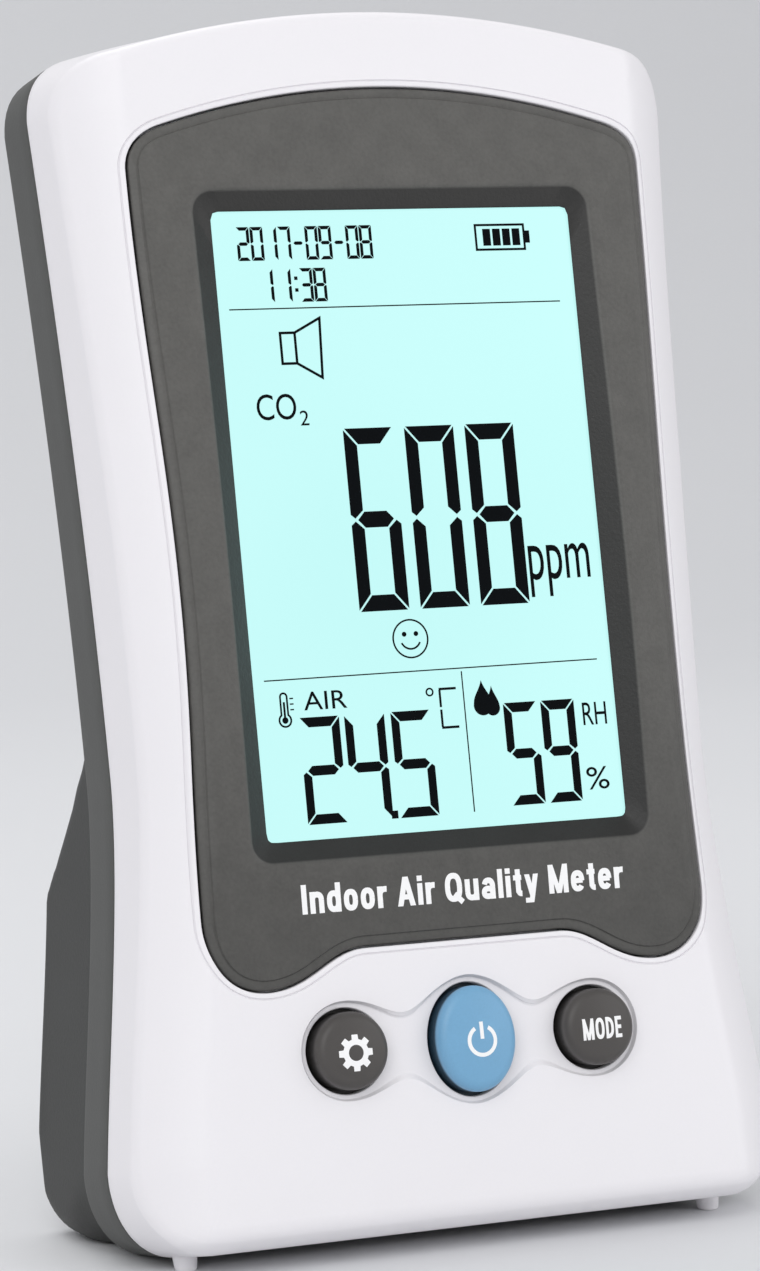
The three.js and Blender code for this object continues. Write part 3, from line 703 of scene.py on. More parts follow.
def rear_shell():
    shell = cut_with(rim_body(), foot_body(), operation="UNION")
    cut_with(shell, rim_body(WALL), foot_body(WALL))
    posts, wells = [], []
    for x, z, back in SCREWS.values():
        for x in (-x, x):
            posts.append(prism("post", ellipse(x, z, SCREW_POST, SCREW_POST, 48), RIM_FRONT, back - 1.0))
            well = ellipse(x, z, SCREW_HEAD + 0.5, SCREW_HEAD + 0.5, 48)
            wells.append(prism("well", well, SCREW_SEAT, back, lip=0.35))
            hole = ellipse(x, z, SCREW_HOLE, SCREW_HOLE, 24)
            wells.append(prism("shaft", hole, RIM_FRONT - 1, SCREW_SEAT + 1))
    cut_with(shell, *posts, operation="UNION")
    recess = prism("pocket", grown(LABEL, GAP, 1.5, 8), FOOT_BACK - LABEL["pocket"], FOOT_BACK, lip=0.15)
    mouth = rounded_rectangle(USB["half_y"], USB["z"] - USB["half_z"], USB["z"] + USB["half_z"], 0.6, 6)
    inlet = prism_x("inlet", mouth + (USB["y"], 0), HALF_WAIST - 2, HALF_FOOT + 2)
    return cut_with(shell, *vent_cutters(), *wells, recess, inlet, smooth=30)


def case_screw(word, side):
    """A pan-head screw with a cross recess, at the bottom of its well."""
    x, z, _ = SCREWS[word]
    x *= side
    under = SCREW_SEAT + GAP
    top = under + 2.0
    profile = [(0, 7.0), (0.7, 7.0), (1.4, 8.5), (1.4, under)]
    profile += [(SCREW_HEAD - 0.1, under), (SCREW_HEAD, under + 0.1)]
    for a in np.radians(np.linspace(0, 80, 7)):
        profile.append((SCREW_HEAD - 1.4 * (1 - math.cos(a)), under + 0.7 + 1.2 * math.sin(a)))
    profile += [(0.9, top - 0.02), (0, top)]
    hand = "left" if side < 0 else "right"
    screw = turned("_".join(("case_screw", word, hand, "visual")), profile, x, z, count=48)
    arms = []
    for wide, tall in ((0.28, 1.35), (1.35, 0.28)):
        arm = rounded_rectangle(wide, z - tall, z + tall, 0.15, 4) + (x, 0)
        arms.append(prism("arm", arm, top - 1.1, top + 1))
    return cut_with(screw, *arms)


# ---- Printing: flat shapes laid on a surface ----
INK = 0.035  # half the thickness of printed shapes


def printed(name, bm):
    mesh = bpy.data.meshes.new(name)
    bm.to_mesh(mesh)
    bm.free()
    return linked(name, mesh)


def laid(name, coords, triangles, surface):
    """A thin body on the surface y(x, z), from triangles drawn in x and z."""
    bm = bmesh.new()
    back, front = (
        [bm.verts.new((x, float(surface(x, z)) + lift, z)) for x, z in coords] for lift in (INK, -INK)
    )
    edges = {}
    for triangle in triangles:
        bm.faces.new([front[i] for i in triangle])
        bm.faces.new([back[i] for i in reversed(triangle)])
        for a, b in zip(triangle, (*triangle[1:], triangle[0])):
            if (b, a) in edges:
                del edges[b, a]
            else:
                edges[a, b] = True
    for a, b in edges:
        bm.faces.new((front[b], front[a], back[a], back[b]))
    bmesh.ops.delete(bm, geom=[v for v in bm.verts if not v.link_faces], context="VERTS")
    bmesh.ops.recalc_face_normals(bm, faces=bm.faces)
    bmesh.ops.transform(bm, matrix=CASE, verts=bm.verts)
    return printed(name, bm)


def split_edges(points, step):
    """The same outline with no edge longer than step."""
    out = []
    for (x0, z0), (x1, z1) in zip(points, [*points[1:], points[0]]):
        parts = max(1, math.ceil(math.hypot(x1 - x0, z1 - z0) / step))
        out += [Vector((x0 + (x1 - x0) * i / parts, z0 + (z1 - z0) * i / parts)) for i in range(parts)]
    return out


def drawn(name, solids, surface, holes=(), step=50.0):
    """The union of closed outlines in x and z, less the holes, laid on a surface."""
    coords, faces = [], []
    for points in (*solids, *holes):
        points = split_edges(points, step)
        area = sum(p.cross(q) for p, q in zip(points, [*points[1:], points[0]]))
        start = len(coords)
        coords += points if area > 0 else points[::-1]
        faces.append(list(range(start, len(coords))))
    made = delaunay_2d_cdt(coords, [], faces, 0, 1e-5)
    inked = [t for t, sources in zip(made[2], made[5]) if sources and max(sources) < len(solids)]
    return laid(name, made[0], inked, surface)


def lettering(name, text, surface, box):
    """Light lettering stretched to fill a box (x0, x1, z0, z1)."""
    data = bpy.data.curves.new(name, "FONT")
    data.body = text
    data.resolution_u = 5
    obj = linked(name, data)
    mesh = evaluated(obj)
    bpy.data.objects.remove(obj)
    bpy.data.curves.remove(data)
    bm = bmesh.new()
    bm.from_mesh(mesh)
    bmesh.ops.remove_doubles(bm, verts=bm.verts, dist=1e-5)
    bmesh.ops.triangulate(bm, faces=bm.faces)
    xy = np.array([v.co[:2] for v in bm.verts])
    x0, x1, z0, z1 = box
    coords = (xy - xy.min(axis=0)) / np.ptp(xy, axis=0) * (x1 - x0, z1 - z0) + (x0, z0)
    triangles = [tuple(v.index for v in face.verts) for face in bm.faces]
    bm.free()
    bpy.data.meshes.remove(mesh)
    return laid(name, coords, triangles, surface)


def joined(name, pieces):
    """One piece from several printed ones."""
    bm = bmesh.new()
    for piece in pieces:
        bm.from_mesh(piece.data)
        discard(piece)
    return printed(name, bm)


def moved(points, x, z):
    return [(px + x, pz + z) for px, pz in points]


def bar(x0, z0, x1, z1, thick):
    """A straight stroke between two points."""
    return strokes([(x0, z0), (x1, z1)], thick, closed=False)[0]


def strokes(points, thick, closed=True):
    """A stroke along a run of points, as one quad for each part, mitred where the parts meet."""
    points = [Vector(p) for p in points]
    first, last = points[0], points[-1]
    before = [last if closed else 2 * first - points[1], *points[:-1]]
    after = [*points[1:], first if closed else 2 * last - points[-2]]
    ribs = []
    for a, p, b in zip(before, points, after):
        u, v = (p - a).normalized(), (b - p).normalized()
        side = Vector((-u.y - v.y, u.x + v.x)).normalized()
        side *= thick / 2 / max(0.35, side.dot(Vector((-u.y, u.x))))
        ribs.append((tuple(p - side), tuple(p + side)))
    if closed:
        ribs.append(ribs[0])
    return [[a[0], b[0], b[1], a[1]] for a, b in zip(ribs, ribs[1:])]


def circle(x, z, radius, count=40):
    return ellipse(x, z, radius, radius, count).tolist()


def ring(x, z, radius, thick):
    return strokes(circle(x, z, radius), thick)


def sector(x, z, radius, thick, start, end, count=24):
    """Part of a ring between two angles in degrees."""
    outer = arc((x, z), radius + thick / 2, start, end, count)
    return outer + arc((x, z), radius - thick / 2, end, start, count)


def segments(width, height, up, across, gap):
    """The seven parts of a digit whose lower left corner is at the origin."""
    mid = height / 2
    half = across / 2
    top = [
        (gap, height), (width - gap, height),
        (width - up - gap, height - across), (up + gap, height - across),
    ]
    upper = [
        (0, height - gap), (up, height - across - gap), (up, mid + half + gap),
        (up * 0.35, mid + gap), (0, mid + across * 0.25 + gap),
    ]
    tip, shoulder = up * 0.45 + gap, up + gap
    middle = [
        (tip, mid), (shoulder, mid + half), (width - shoulder, mid + half),
        (width - tip, mid), (width - shoulder, mid - half), (shoulder, mid - half),
    ]

    def right(points):
        return [(width - x, z) for x, z in points]

    def below(points):
        return [(x, height - z) for x, z in points]

    return {
        "a": top, "f": upper, "b": right(upper), "g": middle,
        "e": below(upper), "c": below(right(upper)), "d": below(top),
    }


LIT = {
    "0": "abcdef", "1": "bc", "2": "abged", "3": "abgcd", "4": "fgbc",
    "5": "afgcd", "6": "afgedc", "7": "abc", "8": "abcdefg", "9": "abcdfg", "-": "g",
}


def digits(text, x, z, width, height, up, across, gap, pitch):
    """Seven-part digits from left to right."""
    outlines = []
    for character in text:
        parts = segments(width, height, up, across, gap)
        outlines += [moved(parts[key], x, z) for key in LIT[character]]
        x += pitch
    return outlines


def block(x0, z0, x1, z1):
    return [(x0, z0), (x1, z0), (x1, z1), (x0, z1)]


def speaker_icon():
    box = block(-16.9, 109.8, -14.9, 113.7)
    horn = [(-14.9, 109.8), (-11.6, 107.9), (-11.3, 115.5), (-14.9, 113.7)]
    return strokes(box, 0.34) + strokes(horn, 0.34)


def battery_icon():
    left, right, low, high = 11.7, 18.6, 123.8, 127.0
    bars = [block(x, low + 0.5, x + 1.1, high - 0.5) for x in (12.7 + i * 1.4 for i in range(4))]
    return strokes(block(left, low, right, high), 0.3) + bars + [block(right, 124.6, right + 0.8, 126.2)]


def smiley_icon():
    x, z = -2.85, 74.3
    eyes = [circle(x + side * 0.82, z + 0.6, 0.32, 16) for side in (-1, 1)]
    return ring(x, z, 2.4, 0.22) + eyes + [sector(x, z + 0.1, 1.4, 0.24, 205, 335)]


def thermometer_icon():
    x, low, high = -21.0, 65.0, 68.5
    outline = arc((x, high - 0.55), 0.45, 0, 180, 12) + arc((x, low), 0.8, 125, 415, 24)
    column = block(x - 0.14, low, x + 0.14, high - 1.2)
    ticks = [bar(x + 0.8, z, x + 1.3, z, 0.18) for z in (66.3, 67.0, 67.7)]
    return strokes(outline, 0.24) + [column, circle(x, low, 0.42, 16)] + ticks


def drop(x, z, radius, tall):
    """A drop: a round bottom and a point at the top."""
    shoulder = (x + radius * 0.25, z + tall * 0.6)
    right = bezier([(x + radius, z), (x + radius, z + radius), shoulder, (x, z + tall)], 10).tolist()
    left = [(2 * x - px, pz) for px, pz in right[::-1]]
    return arc((x, z), radius, 180, 360, 20) + right[1:] + left[1:-1]


def display_print():
    """Everything the display shows, as one piece on its front."""
    def surface(x, z):
        return LCD["front"]

    small = {"width": 1.75, "height": 4.3, "up": 0.4, "across": 0.44, "gap": 0.05}
    large = {"width": 5.5, "height": 13.4, "up": 1.12, "across": 1.25, "gap": 0.14}
    solids = [
        *digits("2017-09-08", -21.65, 122.95, pitch=1.88, **small),
        *digits("1", -18.9, 117.6, pitch=0, **small),
        *digits("1", -16.45, 117.6, pitch=0, **small),
        *digits("38", -13.5, 117.6, pitch=1.88, **small),
        *(block(-14.25, z, -13.8, z + 0.45) for z in (118.9, 120.4)),
        *digits("608", -9.5, 78.0, 6.9, 23.3, 1.75, 2.05, 0.18, 8.5),
        *digits("24", -19.2, 51.8, pitch=6.2, **large),
        *digits("5", -6.6, 51.8, pitch=0, **large),
        *digits("59", 9.2, 52.3, pitch=5.3, **{**large, "width": 4.75, "height": 13.1}),
        block(-7.7, 51.8, -6.8, 52.8),
        bar(-23.5, 116.8, 22.9, 116.9, 0.16), bar(-23.4, 70.05, 23.2, 70.3, 0.16),
        bar(3.8, 51.9, 3.8, 69.8, 0.16),
        *speaker_icon(), *battery_icon(), *smiley_icon(), *thermometer_icon(),
        drop(6.4, 65.3, 1.3, 3.2), drop(7.75, 64.9, 1.0, 2.8),
        *ring(-0.9, 67.4, 0.45, 0.22),
        bar(0.4, 67.7, 2.8, 67.7, 0.32), bar(0.4, 62.8, 2.8, 62.8, 0.32),
        bar(0.5, 65.4, 0.5, 67.6, 0.3), bar(0.5, 62.9, 0.5, 65.1, 0.3),
    ]
    pieces = [drawn("segments", solids, surface)]
    for text, box in (
        ("CO", (-21.0, -15.6, 102.7, 106.0)), ("2", (-15.2, -14.0, 101.9, 103.8)),
        ("ppm", (14.8, 23.5, 78.7, 85.4)), ("AIR", (-18.3, -12.4, 66.1, 68.4)),
        ("RH", (20.4, 23.8, 61.9, 64.8)), ("%", (20.1, 23.3, 53.6, 56.5)),
    ):
        pieces.append(lettering("word", text, surface, box))
    return joined("display_segments", pieces)


def slant(x0, z0, x1, z1, wide):
    """A sloping stroke whose ends are level."""
    return [(x0, z0), (x0 + wide, z0), (x1 + wide, z1), (x1, z1)]


def glyph(letter, tall, t):
    """A plain condensed letter: its width, and its strokes of thickness t."""
    small, w, n = tall * 0.74, tall * 0.6, tall * 0.54
    top, tail = tall - t * 0.95, -tall * 0.24

    def bowl(x0, x1, z0, z1, start=0, end=360):
        """A squarish round stroke inside a box."""
        a = np.radians(np.linspace(start, end, max(8, round(abs(end - start) / 12))))
        c, s = np.cos(a), np.sin(a)
        x = (x0 + x1) / 2 + ((x1 - x0 - t) / 2) * np.sign(c) * np.abs(c) ** 0.8
        z = (z0 + z1) / 2 + ((z1 - z0 - t) / 2) * np.sign(s) * np.abs(s) ** 0.8
        return strokes(list(zip(x, z)), t, closed=False)

    def stem(x, z0=0.0, z1=tall):
        return block(x, z0, x + t, z1)

    def beam(z, x0, x1):
        return block(x0, z, x1, z + t * 0.9)

    return {
        "A": (w * 1.15, [
            slant(0, 0, w * 0.575 - t / 2, tall, t * 1.05), beam(tall * 0.22, w * 0.2, w * 0.95),
            slant(w * 1.15 - t, 0, w * 0.575 - t / 2, tall, t * 1.05),
        ]),
        "D": (w, [
            stem(0), beam(0, 0, w * 0.25), beam(top, 0, w * 0.25), *bowl(-w * 0.6, w, 0, tall, -90, 90),
        ]),
        "E": (w * 0.85, [
            stem(0), beam(0, 0, w * 0.85),
            beam(tall / 2 - t * 0.4, 0, w * 0.78), beam(tall - t * 0.9, 0, w * 0.85),
        ]),
        "I": (t, [stem(0)]),
        "M": (w * 1.3, [
            stem(0), slant(w * 0.65 - t * 0.45, 0, 0.02, tall, t * 0.95),
            stem(w * 1.3 - t), slant(w * 0.65 - t * 0.45, 0, w * 1.3 - t * 0.98, tall, t * 0.95),
        ]),
        "O": (w * 1.08, bowl(0, w * 1.08, 0, tall)),
        "Q": (w * 1.12, [
            *bowl(0, w * 1.12, 0, tall), bar(w * 0.6, tall * 0.27, w * 1.12, -tall * 0.03, t),
        ]),
        "a": (n, [
            stem(n - t, 0, small * 0.7), *bowl(0.03 * n, n, small * 0.1, small, 160, 0),
            *bowl(0, n * 0.97, 0, small * 0.62),
        ]),
        "d": (n, [stem(n - t), *bowl(0, n, 0, small)]),
        "e": (n, [*bowl(0, n, 0, small, 0, 325), beam(small / 2 - t * 0.4, t / 2, n - t * 0.35)]),
        "i": (t, [stem(0, 0, small), stem(0, top)]),
        "l": (t, [stem(0)]),
        "n": (n, [stem(0, 0, small), stem(n - t, 0, small * 0.6), *bowl(0, n, small * 0.2, small, 165, 0)]),
        "o": (n, bowl(0, n, 0, small)),
        "r": (n * 0.66, [stem(0, 0, small), *bowl(0, n * 1.15, small * 0.1, small, 170, 78)]),
        "t": (n * 0.62, [
            stem(n * 0.16, t * 0.7, tall * 0.94), beam(small - t * 0.9, 0, n * 0.6),
            *bowl(n * 0.16, n * 0.98, 0, tall * 0.5, 180, 275),
        ]),
        "u": (n, [
            stem(n - t, 0, small), stem(0, small * 0.4, small), *bowl(0, n, 0, small * 0.8, 180, 345),
        ]),
        "y": (n * 1.02, [
            slant(n * 0.52 - t / 2, 0, 0, small, t), slant(n * 0.24, tail, n * 1.02 - t, small, t),
            block(0, tail, n * 0.24 + t * 0.8, tail + t * 0.85),
        ]),
    }[letter]


def bold_lettering(name, text, surface, box, thick, space):
    """Plain bold lettering from x0 to x1, standing on z0 with capitals up to z1."""
    x0, x1, z0, z1 = box
    tall = z1 - z0
    solids, x = [], 0.0
    for letter in text:
        if letter == " ":
            x += tall * 0.3
            continue
        width, outlines = glyph(letter, tall, thick)
        solids += [moved(outline, x, z0) for outline in outlines]
        x += width + space
    fit = (x1 - x0) / (x - space)
    solids = [[(x0 + px * fit, pz) for px, pz in outline] for outline in solids]
    return drawn(name, solids, surface, step=0.5)


def title_print():
    """A plain description of the kind of object, under the display."""
    box = (-21.7, 23.1, 40.75, 44.4)
    return bold_lettering("title_lettering", "Indoor Air Quality Meter", face_depth, box, 0.72, 0.42)


def gear_teeth(x, z):
    root, tip = 1.72, 2.3
    points = []
    for middle in range(90, 450, 45):
        for radius, turn in ((root, -15), (tip, -10), (tip, 10), (root, 15)):
            points += arc((x, z), radius, middle + turn, middle + turn, 1)
    return points


def cap_print(word):
    """The sign on a cap: a gear, an on-off sign or a word."""
    x, _, _ = CAPS[word]
    z = BUTTON_Z - 0.3
    surface = cap_surface(word)
    name = word + "_symbol"
    if word == "settings":
        return drawn(name, [gear_teeth(x, z)], surface, holes=[circle(x, z, 1.0)], step=0.4)
    if word == "power":
        x += 0.2
        sign = [sector(x, z, 1.8, 0.5, 120, 420, 50), bar(x, z + 0.2, x, z + 2.35, 0.5)]
        return drawn(name, sign, surface, step=0.4)
    return bold_lettering(name, "MODE", surface, (x - 2.75, x + 2.75, z - 1.3, z + 1.4), 0.52, 0.32)


# ---- Materials ----
def linear(*screen):
    """A screen colour, 0 to 255, as the shader's own."""
    return tuple(c / 255 / 12.92 if c <= 10 else ((c / 255 + 0.055) / 1.055) ** 2.4 for c in screen)


class Look:
    """A material under construction: its shader, and noise in the frame's own space."""

    def __init__(self, name, **sockets):
        self.material = bpy.data.materials.new(name)
        self.material.use_nodes = True
        self.tree = self.material.node_tree
        self.shader = self.tree.nodes["Principled BSDF"]
        self.space = self.tree.nodes.new("ShaderNodeTexCoord").outputs["Object"]
        for socket, value in sockets.items():
            self.shader.inputs[socket.replace("_", " ")].default_value = value

    def node(self, kind, links=None, **values):
        """A node, with its settings and constant inputs by name and its linked inputs in a dict."""
        node = self.tree.nodes.new("ShaderNode" + kind)
        for key, value in values.items():
            if hasattr(node, key):
                setattr(node, key, value)
            else:
                node.inputs[key.replace("_", " ")].default_value = value
        for socket, source in (links or {}).items():
            self.tree.links.new(source, node.inputs[socket])
        return node

    def texture(self, kind, size, space=None, **values):
        """A texture whose lumps are about size millimetres across."""
        return self.node("Tex" + kind, {"Vector": space or self.space}, Scale=1 / (size * MM), **values)

    def noise(self, size, detail=3.0, space=None):
        return self.texture("Noise", size, space, Detail=detail).outputs["Fac"]

    def colour(self, factor, dark, light):
        """The base colour, or a display's glow, from dark to light as a factor rises."""
        ramp = self.node("ValToRGB", {"Fac": factor})
        for stop, place, colour in zip(ramp.color_ramp.elements, (0.3, 0.7), (dark, light)):
            stop.position = place
            stop.color = (*colour, 1)
        return ramp.outputs["Color"]

    def gloss(self, factor, low, high):
        """Roughness from low to high as a factor rises."""
        spread = self.node("MapRange", {"Value": factor}, To_Min=low, To_Max=high)
        self.feed("Roughness", spread.outputs["Result"])

    def case_distance(self, direction, origin=(0, 0, 0)):
        """Millimetres along a direction of the case, from a point of the case."""
        shifted = self.node("VectorMath", {0: self.space}, operation="SUBTRACT")
        shifted.inputs[1].default_value = CASE @ Vector(origin)
        dot = self.node("VectorMath", {0: shifted.outputs["Vector"]}, operation="DOT_PRODUCT")
        dot.inputs[1].default_value = CASE.to_3x3().normalized() @ Vector(direction) / MM
        return dot.outputs["Value"]

    def maths(self, operation, *sources):
        node = self.node("Math", operation=operation)
        for socket, source in zip(node.inputs, sources):
            if isinstance(source, (int, float)):
                socket.default_value = source
            else:
                self.tree.links.new(source, socket)
        return node.outputs[0]

    def paint_shade(self, distance, start, end, factor):
        """Painted shade: multiply the base colour by a factor, smoothly from where a distance is start to
        its end.
        """
        links = {"Value": distance}
        mask = self.node("MapRange", links, interpolation_type="SMOOTHSTEP", From_Min=start, From_Max=end)
        links = {"Factor": mask.outputs["Result"], 6: self.shader.inputs["Base Color"].links[0].from_socket}
        mix = self.node("Mix", links, data_type="RGBA", blend_type="MULTIPLY")
        mix.inputs[7].default_value = (factor, factor, factor, 1)
        self.feed("Base Color", mix.outputs[2])

    def feed(self, socket, source):
        self.tree.links.new(source, self.shader.inputs[socket])

    def bump(self, height, depth):
        """Raise the surface by a height from 0 to 1, at full height depth millimetres."""
        links = {"Height": height}
        for previous in self.shader.inputs["Normal"].links:
            links["Normal"] = previous.from_socket
        self.feed("Normal", self.node("Bump", links, Strength=1.0, Distance=depth * MM).outputs["Normal"])


def scaled(colour, factor):
    return tuple(c * factor for c in colour)


def moulded(name, colour, roughness, grain, depth, vary=0.05, patch=9.0, specular=0.5):
    """Moulded plastic: fine texture, faint clouding of the colour, and uneven gloss."""
    look = Look(name, Specular_IOR_Level=specular)
    speck = look.noise(grain, 2.0)
    clouded = look.maths("MULTIPLY", look.maths("ADD", look.noise(patch, 4.0), speck), 0.5)
    look.feed("Base Color", look.colour(clouded, scaled(colour, 1 - vary), scaled(colour, 1 + vary)))
    look.gloss(speck, roughness - 0.05, roughness + 0.06)
    look.bump(speck, depth)
    return look


def metal(name, colour, roughness, size=0.6, stretch=(1, 1, 1)):
    look = Look(name, Metallic=1.0)
    stretched = look.node("Mapping", {"Vector": look.space}, Scale=stretch)
    noise = look.noise(size, 4.0, stretched.outputs["Vector"])
    look.feed("Base Color", look.colour(noise, scaled(colour, 0.85), colour))
    look.gloss(noise, roughness - 0.08, roughness + 0.12)
    look.bump(noise, 0.01)
    return look


def glowing_display():
    """A backlit panel: pale cyan light, a little brighter in patches."""
    look = Look("display_glass", Base_Color=(0.02, 0.03, 0.03, 1), Emission_Strength=0.97)
    glow = look.colour(look.noise(60.0, 1.0), linear(193, 247, 245), linear(199, 251, 249))
    look.feed("Emission Color", glow)
    look.gloss(look.noise(0.5, 2.0), 0.18, 0.28)
    return look


def circuit_board():
    """Green resist over faint straight tracks."""
    look = Look("circuit_board")
    resist = {"Color1": (0.012, 0.12, 0.045, 1), "Color2": (0.016, 0.15, 0.055, 1)}
    tracks = look.texture("Brick", 2.4, Mortar=(0.03, 0.24, 0.09, 1), Mortar_Size=0.03, **resist)
    look.feed("Base Color", tracks.outputs["Color"])
    look.bump(tracks.outputs["Fac"], 0.03)
    look.gloss(look.noise(1.5), 0.28, 0.42)
    return look


def fibrous(name, colour, size, depth):
    """Felted or foamed stuff."""
    look = Look(name, Roughness=0.95)
    fibres = look.noise(size, 8.0)
    look.feed("Base Color", look.colour(fibres, scaled(colour, 0.7), colour))
    look.bump(fibres, depth)
    look.bump(look.texture("Voronoi", size * 2).outputs["Distance"], depth)
    return look


def striped(name, dark, light, size):
    """Thin conducting stripes across a soft strip."""
    look = Look(name, Roughness=0.7)
    wave = look.texture("Wave", size).outputs["Fac"]
    look.feed("Base Color", look.colour(wave, dark, light))
    look.bump(wave, 0.02)
    return look


def bezel_plastic():
    """Spark-eroded plastic, with painted shade on the sloping surround of the display, deeper in and
    towards the bottom.
    """
    look = moulded("bezel_plastic", linear(84, 83, 80), 0.52, 0.5, 0.05, 0.16, 3)
    radius = 2.8
    low, high = WINDOW["low"], WINDOW["high"]
    sides = (((1, 0, 0), 0, WINDOW["half"]), ((0, 0, 1), (low + high) / 2, (high - low) / 2))
    squares = []
    for direction, middle, half in sides:
        from_middle = look.maths("ABSOLUTE", look.case_distance(direction, (0, 0, middle)))
        past = look.maths("MAXIMUM", look.maths("SUBTRACT", from_middle, half + RECESS_SLOPE - radius), 0.0)
        squares.append(look.maths("MULTIPLY", past, past))
    # Painted shade on the sloping surround that goes down to the display.
    look.paint_shade(look.maths("SQRT", look.maths("ADD", *squares)), radius + 0.12, radius - 0.2, 0.18)
    # Painted shade on the deepest part of the recess round the display.
    look.paint_shade(look.case_distance((0, 1, 0)), 0.35, 0.7, 0.3)
    # Painted shade: the frame darker towards the bottom, where less light falls.
    look.paint_shade(look.case_distance((0, 0, 1)), 75, 30, 0.7)
    return look


def cap_rubber(name, colour, roughness, factor):
    """Soft rubber, with painted shade where it goes down into its hole."""
    look = moulded(name, colour, roughness, 0.3, 0.007, 0.04, 5)
    # Painted shade on the cap's side below its shoulder, standing for the dark gap round it.
    look.paint_shade(look.case_distance((0, 1, 0)), -1.1, -0.3, factor)
    return look


def graphite_plastic():
    """Fine-textured plastic, with painted shade making it darker behind the rim."""
    look = moulded("graphite_plastic", linear(78, 79, 77), 0.56, 0.4, 0.03, 0.07, 8)
    # Painted shade on the rim's back and the foot, which sit in shade behind the lit rim.
    look.paint_shade(look.case_distance((0, 1, 0), (0, RIM_BACK, 0)), -0.4, 0.2, 0.47)
    return look


# The material of each slot: its maker and what it is made with.
# For moulded: name, colour, roughness, grain, depth, variation of colour, size of its patches, gloss.
LOOKS = {
    "white_shell": (moulded, "white_plastic", linear(236, 234, 237), 0.4, 0.35, 0.004, 0.008, 25),
    "graphite_shell": (graphite_plastic,),
    "bezel": (bezel_plastic,),
    # For cap_rubber the last number is the strength of the painted shade down in the hole.
    "dark_cap": (cap_rubber, "dark_rubber", linear(70, 67, 65), 0.46, 0.35),
    "blue_cap": (cap_rubber, "blue_rubber", linear(114, 166, 202), 0.42, 0.12),
    "display_glass": (glowing_display,),
    "diffuser": (moulded, "diffuser_plastic", (0.85, 0.86, 0.86), 0.5, 0.4, 0.02, 0.03),
    "holder": (moulded, "holder_plastic", (0.7, 0.7, 0.69), 0.5, 0.4, 0.02, 0.04),
    "contact_strip": (striped, "contact_rubber", (0.05, 0.03, 0.03), (0.62, 0.45, 0.45), 0.4),
    "circuit_board": (circuit_board,),
    "component_black": (moulded, "epoxy", (0.02, 0.02, 0.021), 0.5, 0.2, 0.02, 0.2, 2),
    "switch_black": (moulded, "nylon", (0.022, 0.022, 0.024), 0.42, 0.3, 0.01, 0.15, 3),
    "plunger_white": (moulded, "acetal", (0.8, 0.8, 0.78), 0.35, 0.3, 0.006, 0.03, 3),
    "steel": (metal, "zinc_steel", (0.62, 0.63, 0.65), 0.3),
    "gold_chamber": (metal, "gilded_metal", (0.85, 0.62, 0.25), 0.25, 1.2),
    "filter_white": (fibrous, "filter_felt", (0.8, 0.8, 0.77), 0.3, 0.12),
    "cell_foil": (metal, "cell_foil", (0.6, 0.61, 0.63), 0.35, 5.0, (1, 1, 3)),
    "foam": (fibrous, "foam", (0.05, 0.05, 0.052), 0.35, 0.15),
    "blank_label": (moulded, "label_film", (0.52, 0.53, 0.54), 0.35, 0.15, 0.003, 0.05, 12),
    "connector_white": (moulded, "connector_nylon", (0.78, 0.77, 0.73), 0.45, 0.3, 0.01, 0.04, 3),
    "lead_red": (moulded, "lead_red_sleeve", (0.42, 0.02, 0.015), 0.38, 0.3, 0.006, 0.06, 3),
    "lead_black": (moulded, "lead_black_sleeve", (0.014, 0.014, 0.014), 0.38, 0.3, 0.006, 0.1, 3),
    "lcd_ink": (moulded, "lcd_ink", (0.002, 0.003, 0.004), 0.6, 0.3, 0.002, 0.2, 3, 0.05),
    "white_ink": (moulded, "white_ink", linear(246, 246, 246), 0.5, 0.2, 0.004, 0.015, 3),
}
MADE = {}


def look_for(slot):
    if slot not in MADE:
        maker, *recipe = LOOKS[slot]
        MADE[slot] = maker(*recipe).material
    return MADE[slot]


def dress(piece, body, *nodes, slot, look=None):
    """Give a new piece its material, from its look or else its slot, put it on its body and hide the CAD
    nodes it stands for.
    """
    piece.data.materials.clear()
    piece.data.materials.append(look_for(look or slot))
    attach(piece, body)
    if nodes:
        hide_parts(*nodes)


def dress_cad_nodes():
    """Every CAD node keeps its slot and gets that slot's material."""
    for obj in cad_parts.values():
        slot = obj.data.materials[0].name.split(".")[0]
        obj.material_slots[0].material = look_for(slot)


# ---- Camera, light and floor ----
def set_camera():
    data = bpy.data.cameras.new("camera")
    data.sensor_width = 36
    data.lens = 130.86
    data.clip_start = 0.01
    camera = linked("camera", data)
    yaw, down, roll = math.radians(24.71), math.radians(4.63), math.radians(-1.175)
    camera.matrix_world = (
        Matrix.Translation((-0.24923, -0.53744, 0.12402))
        @ Matrix.Rotation(-yaw, 4, "Z")
        @ Matrix.Rotation(math.pi / 2 - down, 4, "X")
        @ Matrix.Rotation(roll, 4, "Z")
    )
    bpy.context.scene.camera = camera


def area_light(name, place, size, power):
    """A soft light turned to the middle of the object."""
    data = bpy.data.lights.new(name, "AREA")
    data.shape = "RECTANGLE"
    data.size, data.size_y = size
    data.energy = power
    light = linked(name, data)
    light.location = place
    light.rotation_euler = (Vector((0, 0, 0.08)) - Vector(place)).to_track_quat("-Z", "Y").to_euler()


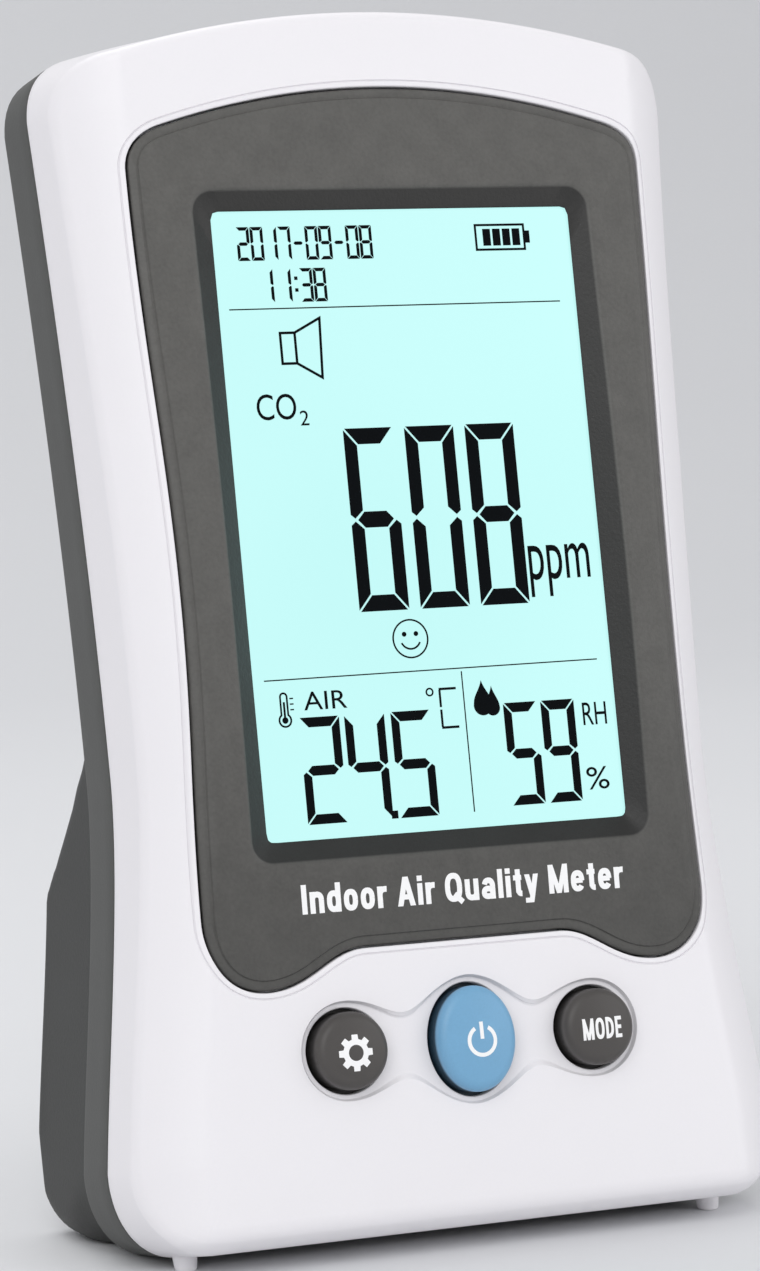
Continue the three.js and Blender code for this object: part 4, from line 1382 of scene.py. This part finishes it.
def floor_mesh():
    """A broad floor that curves up into a backdrop well behind the object."""
    half, front, back, rise, radius = 2.5, -2.0, 1.6, 2.2, 0.9
    bend = arc((back - radius, radius), radius, -90, 0, 17)
    profile = [(front, 0.0), (back - radius, 0.0), *bend[1:], (back, rise)]
    verts = [(side * half, y, z) for y, z in profile for side in (-1, 1)]
    faces = [(2 * i, 2 * i + 1, 2 * i + 3, 2 * i + 2) for i in range(len(profile) - 1)]
    mesh = bpy.data.meshes.new("floor")
    mesh.from_pydata(verts, [], faces)
    mesh.polygons.foreach_set("use_smooth", [True] * len(mesh.polygons))
    return mesh


def set_stage():
    scene = bpy.context.scene
    scene.view_settings.view_transform = "Standard"
    world = bpy.data.worlds.new("studio")
    scene.world = world
    world.use_nodes = True
    background = world.node_tree.nodes["Background"]
    background.inputs["Color"].default_value = (0.97, 0.97, 0.99, 1)
    background.inputs["Strength"].default_value = 0.62
    floor = linked("floor", floor_mesh())
    paper = moulded("floor_paper", linear(226, 227, 229), 0.6, 1.5, 0.02, 0.01, 120)
    floor.data.materials.append(paper.material)
    area_light("key", (-0.7, -0.9, 0.85), (0.9, 0.9), 7.0)
    area_light("fill", (0.9, -0.8, 0.5), (0.8, 0.8), 3.0)
    area_light("top", (-0.1, 0.5, 1.1), (0.9, 0.6), 4.0)


def build():
    dress_cad_nodes()
    dress(front_shell(), "case", "front_shell", slot="white_shell")
    dress(rear_shell(), "case", "rear_shell", slot="graphite_shell")
    dress(display_bezel(), "case", "display_bezel", slot="bezel")
    dress(lcd_panel(), "case", "lcd_panel", slot="display_glass")
    dress(display_print(), "case", slot="component_black", look="lcd_ink")
    dress(title_print(), "case", slot="blank_label", look="white_ink")
    for word, slot in (("settings", "dark_cap"), ("power", "blue_cap"), ("mode", "dark_cap")):
        dress(button_cap(word), word + "_cap", word + "_button", slot=slot)
        dress(cap_print(word), word + "_cap", slot="plunger_white", look="white_ink")
    for word in SCREWS:
        for side, hand in ((-1, "left"), (1, "right")):
            dress(case_screw(word, side), "case", "_".join(("case_screw", word, hand)), slot="steel")


set_camera()
set_stage()
build()
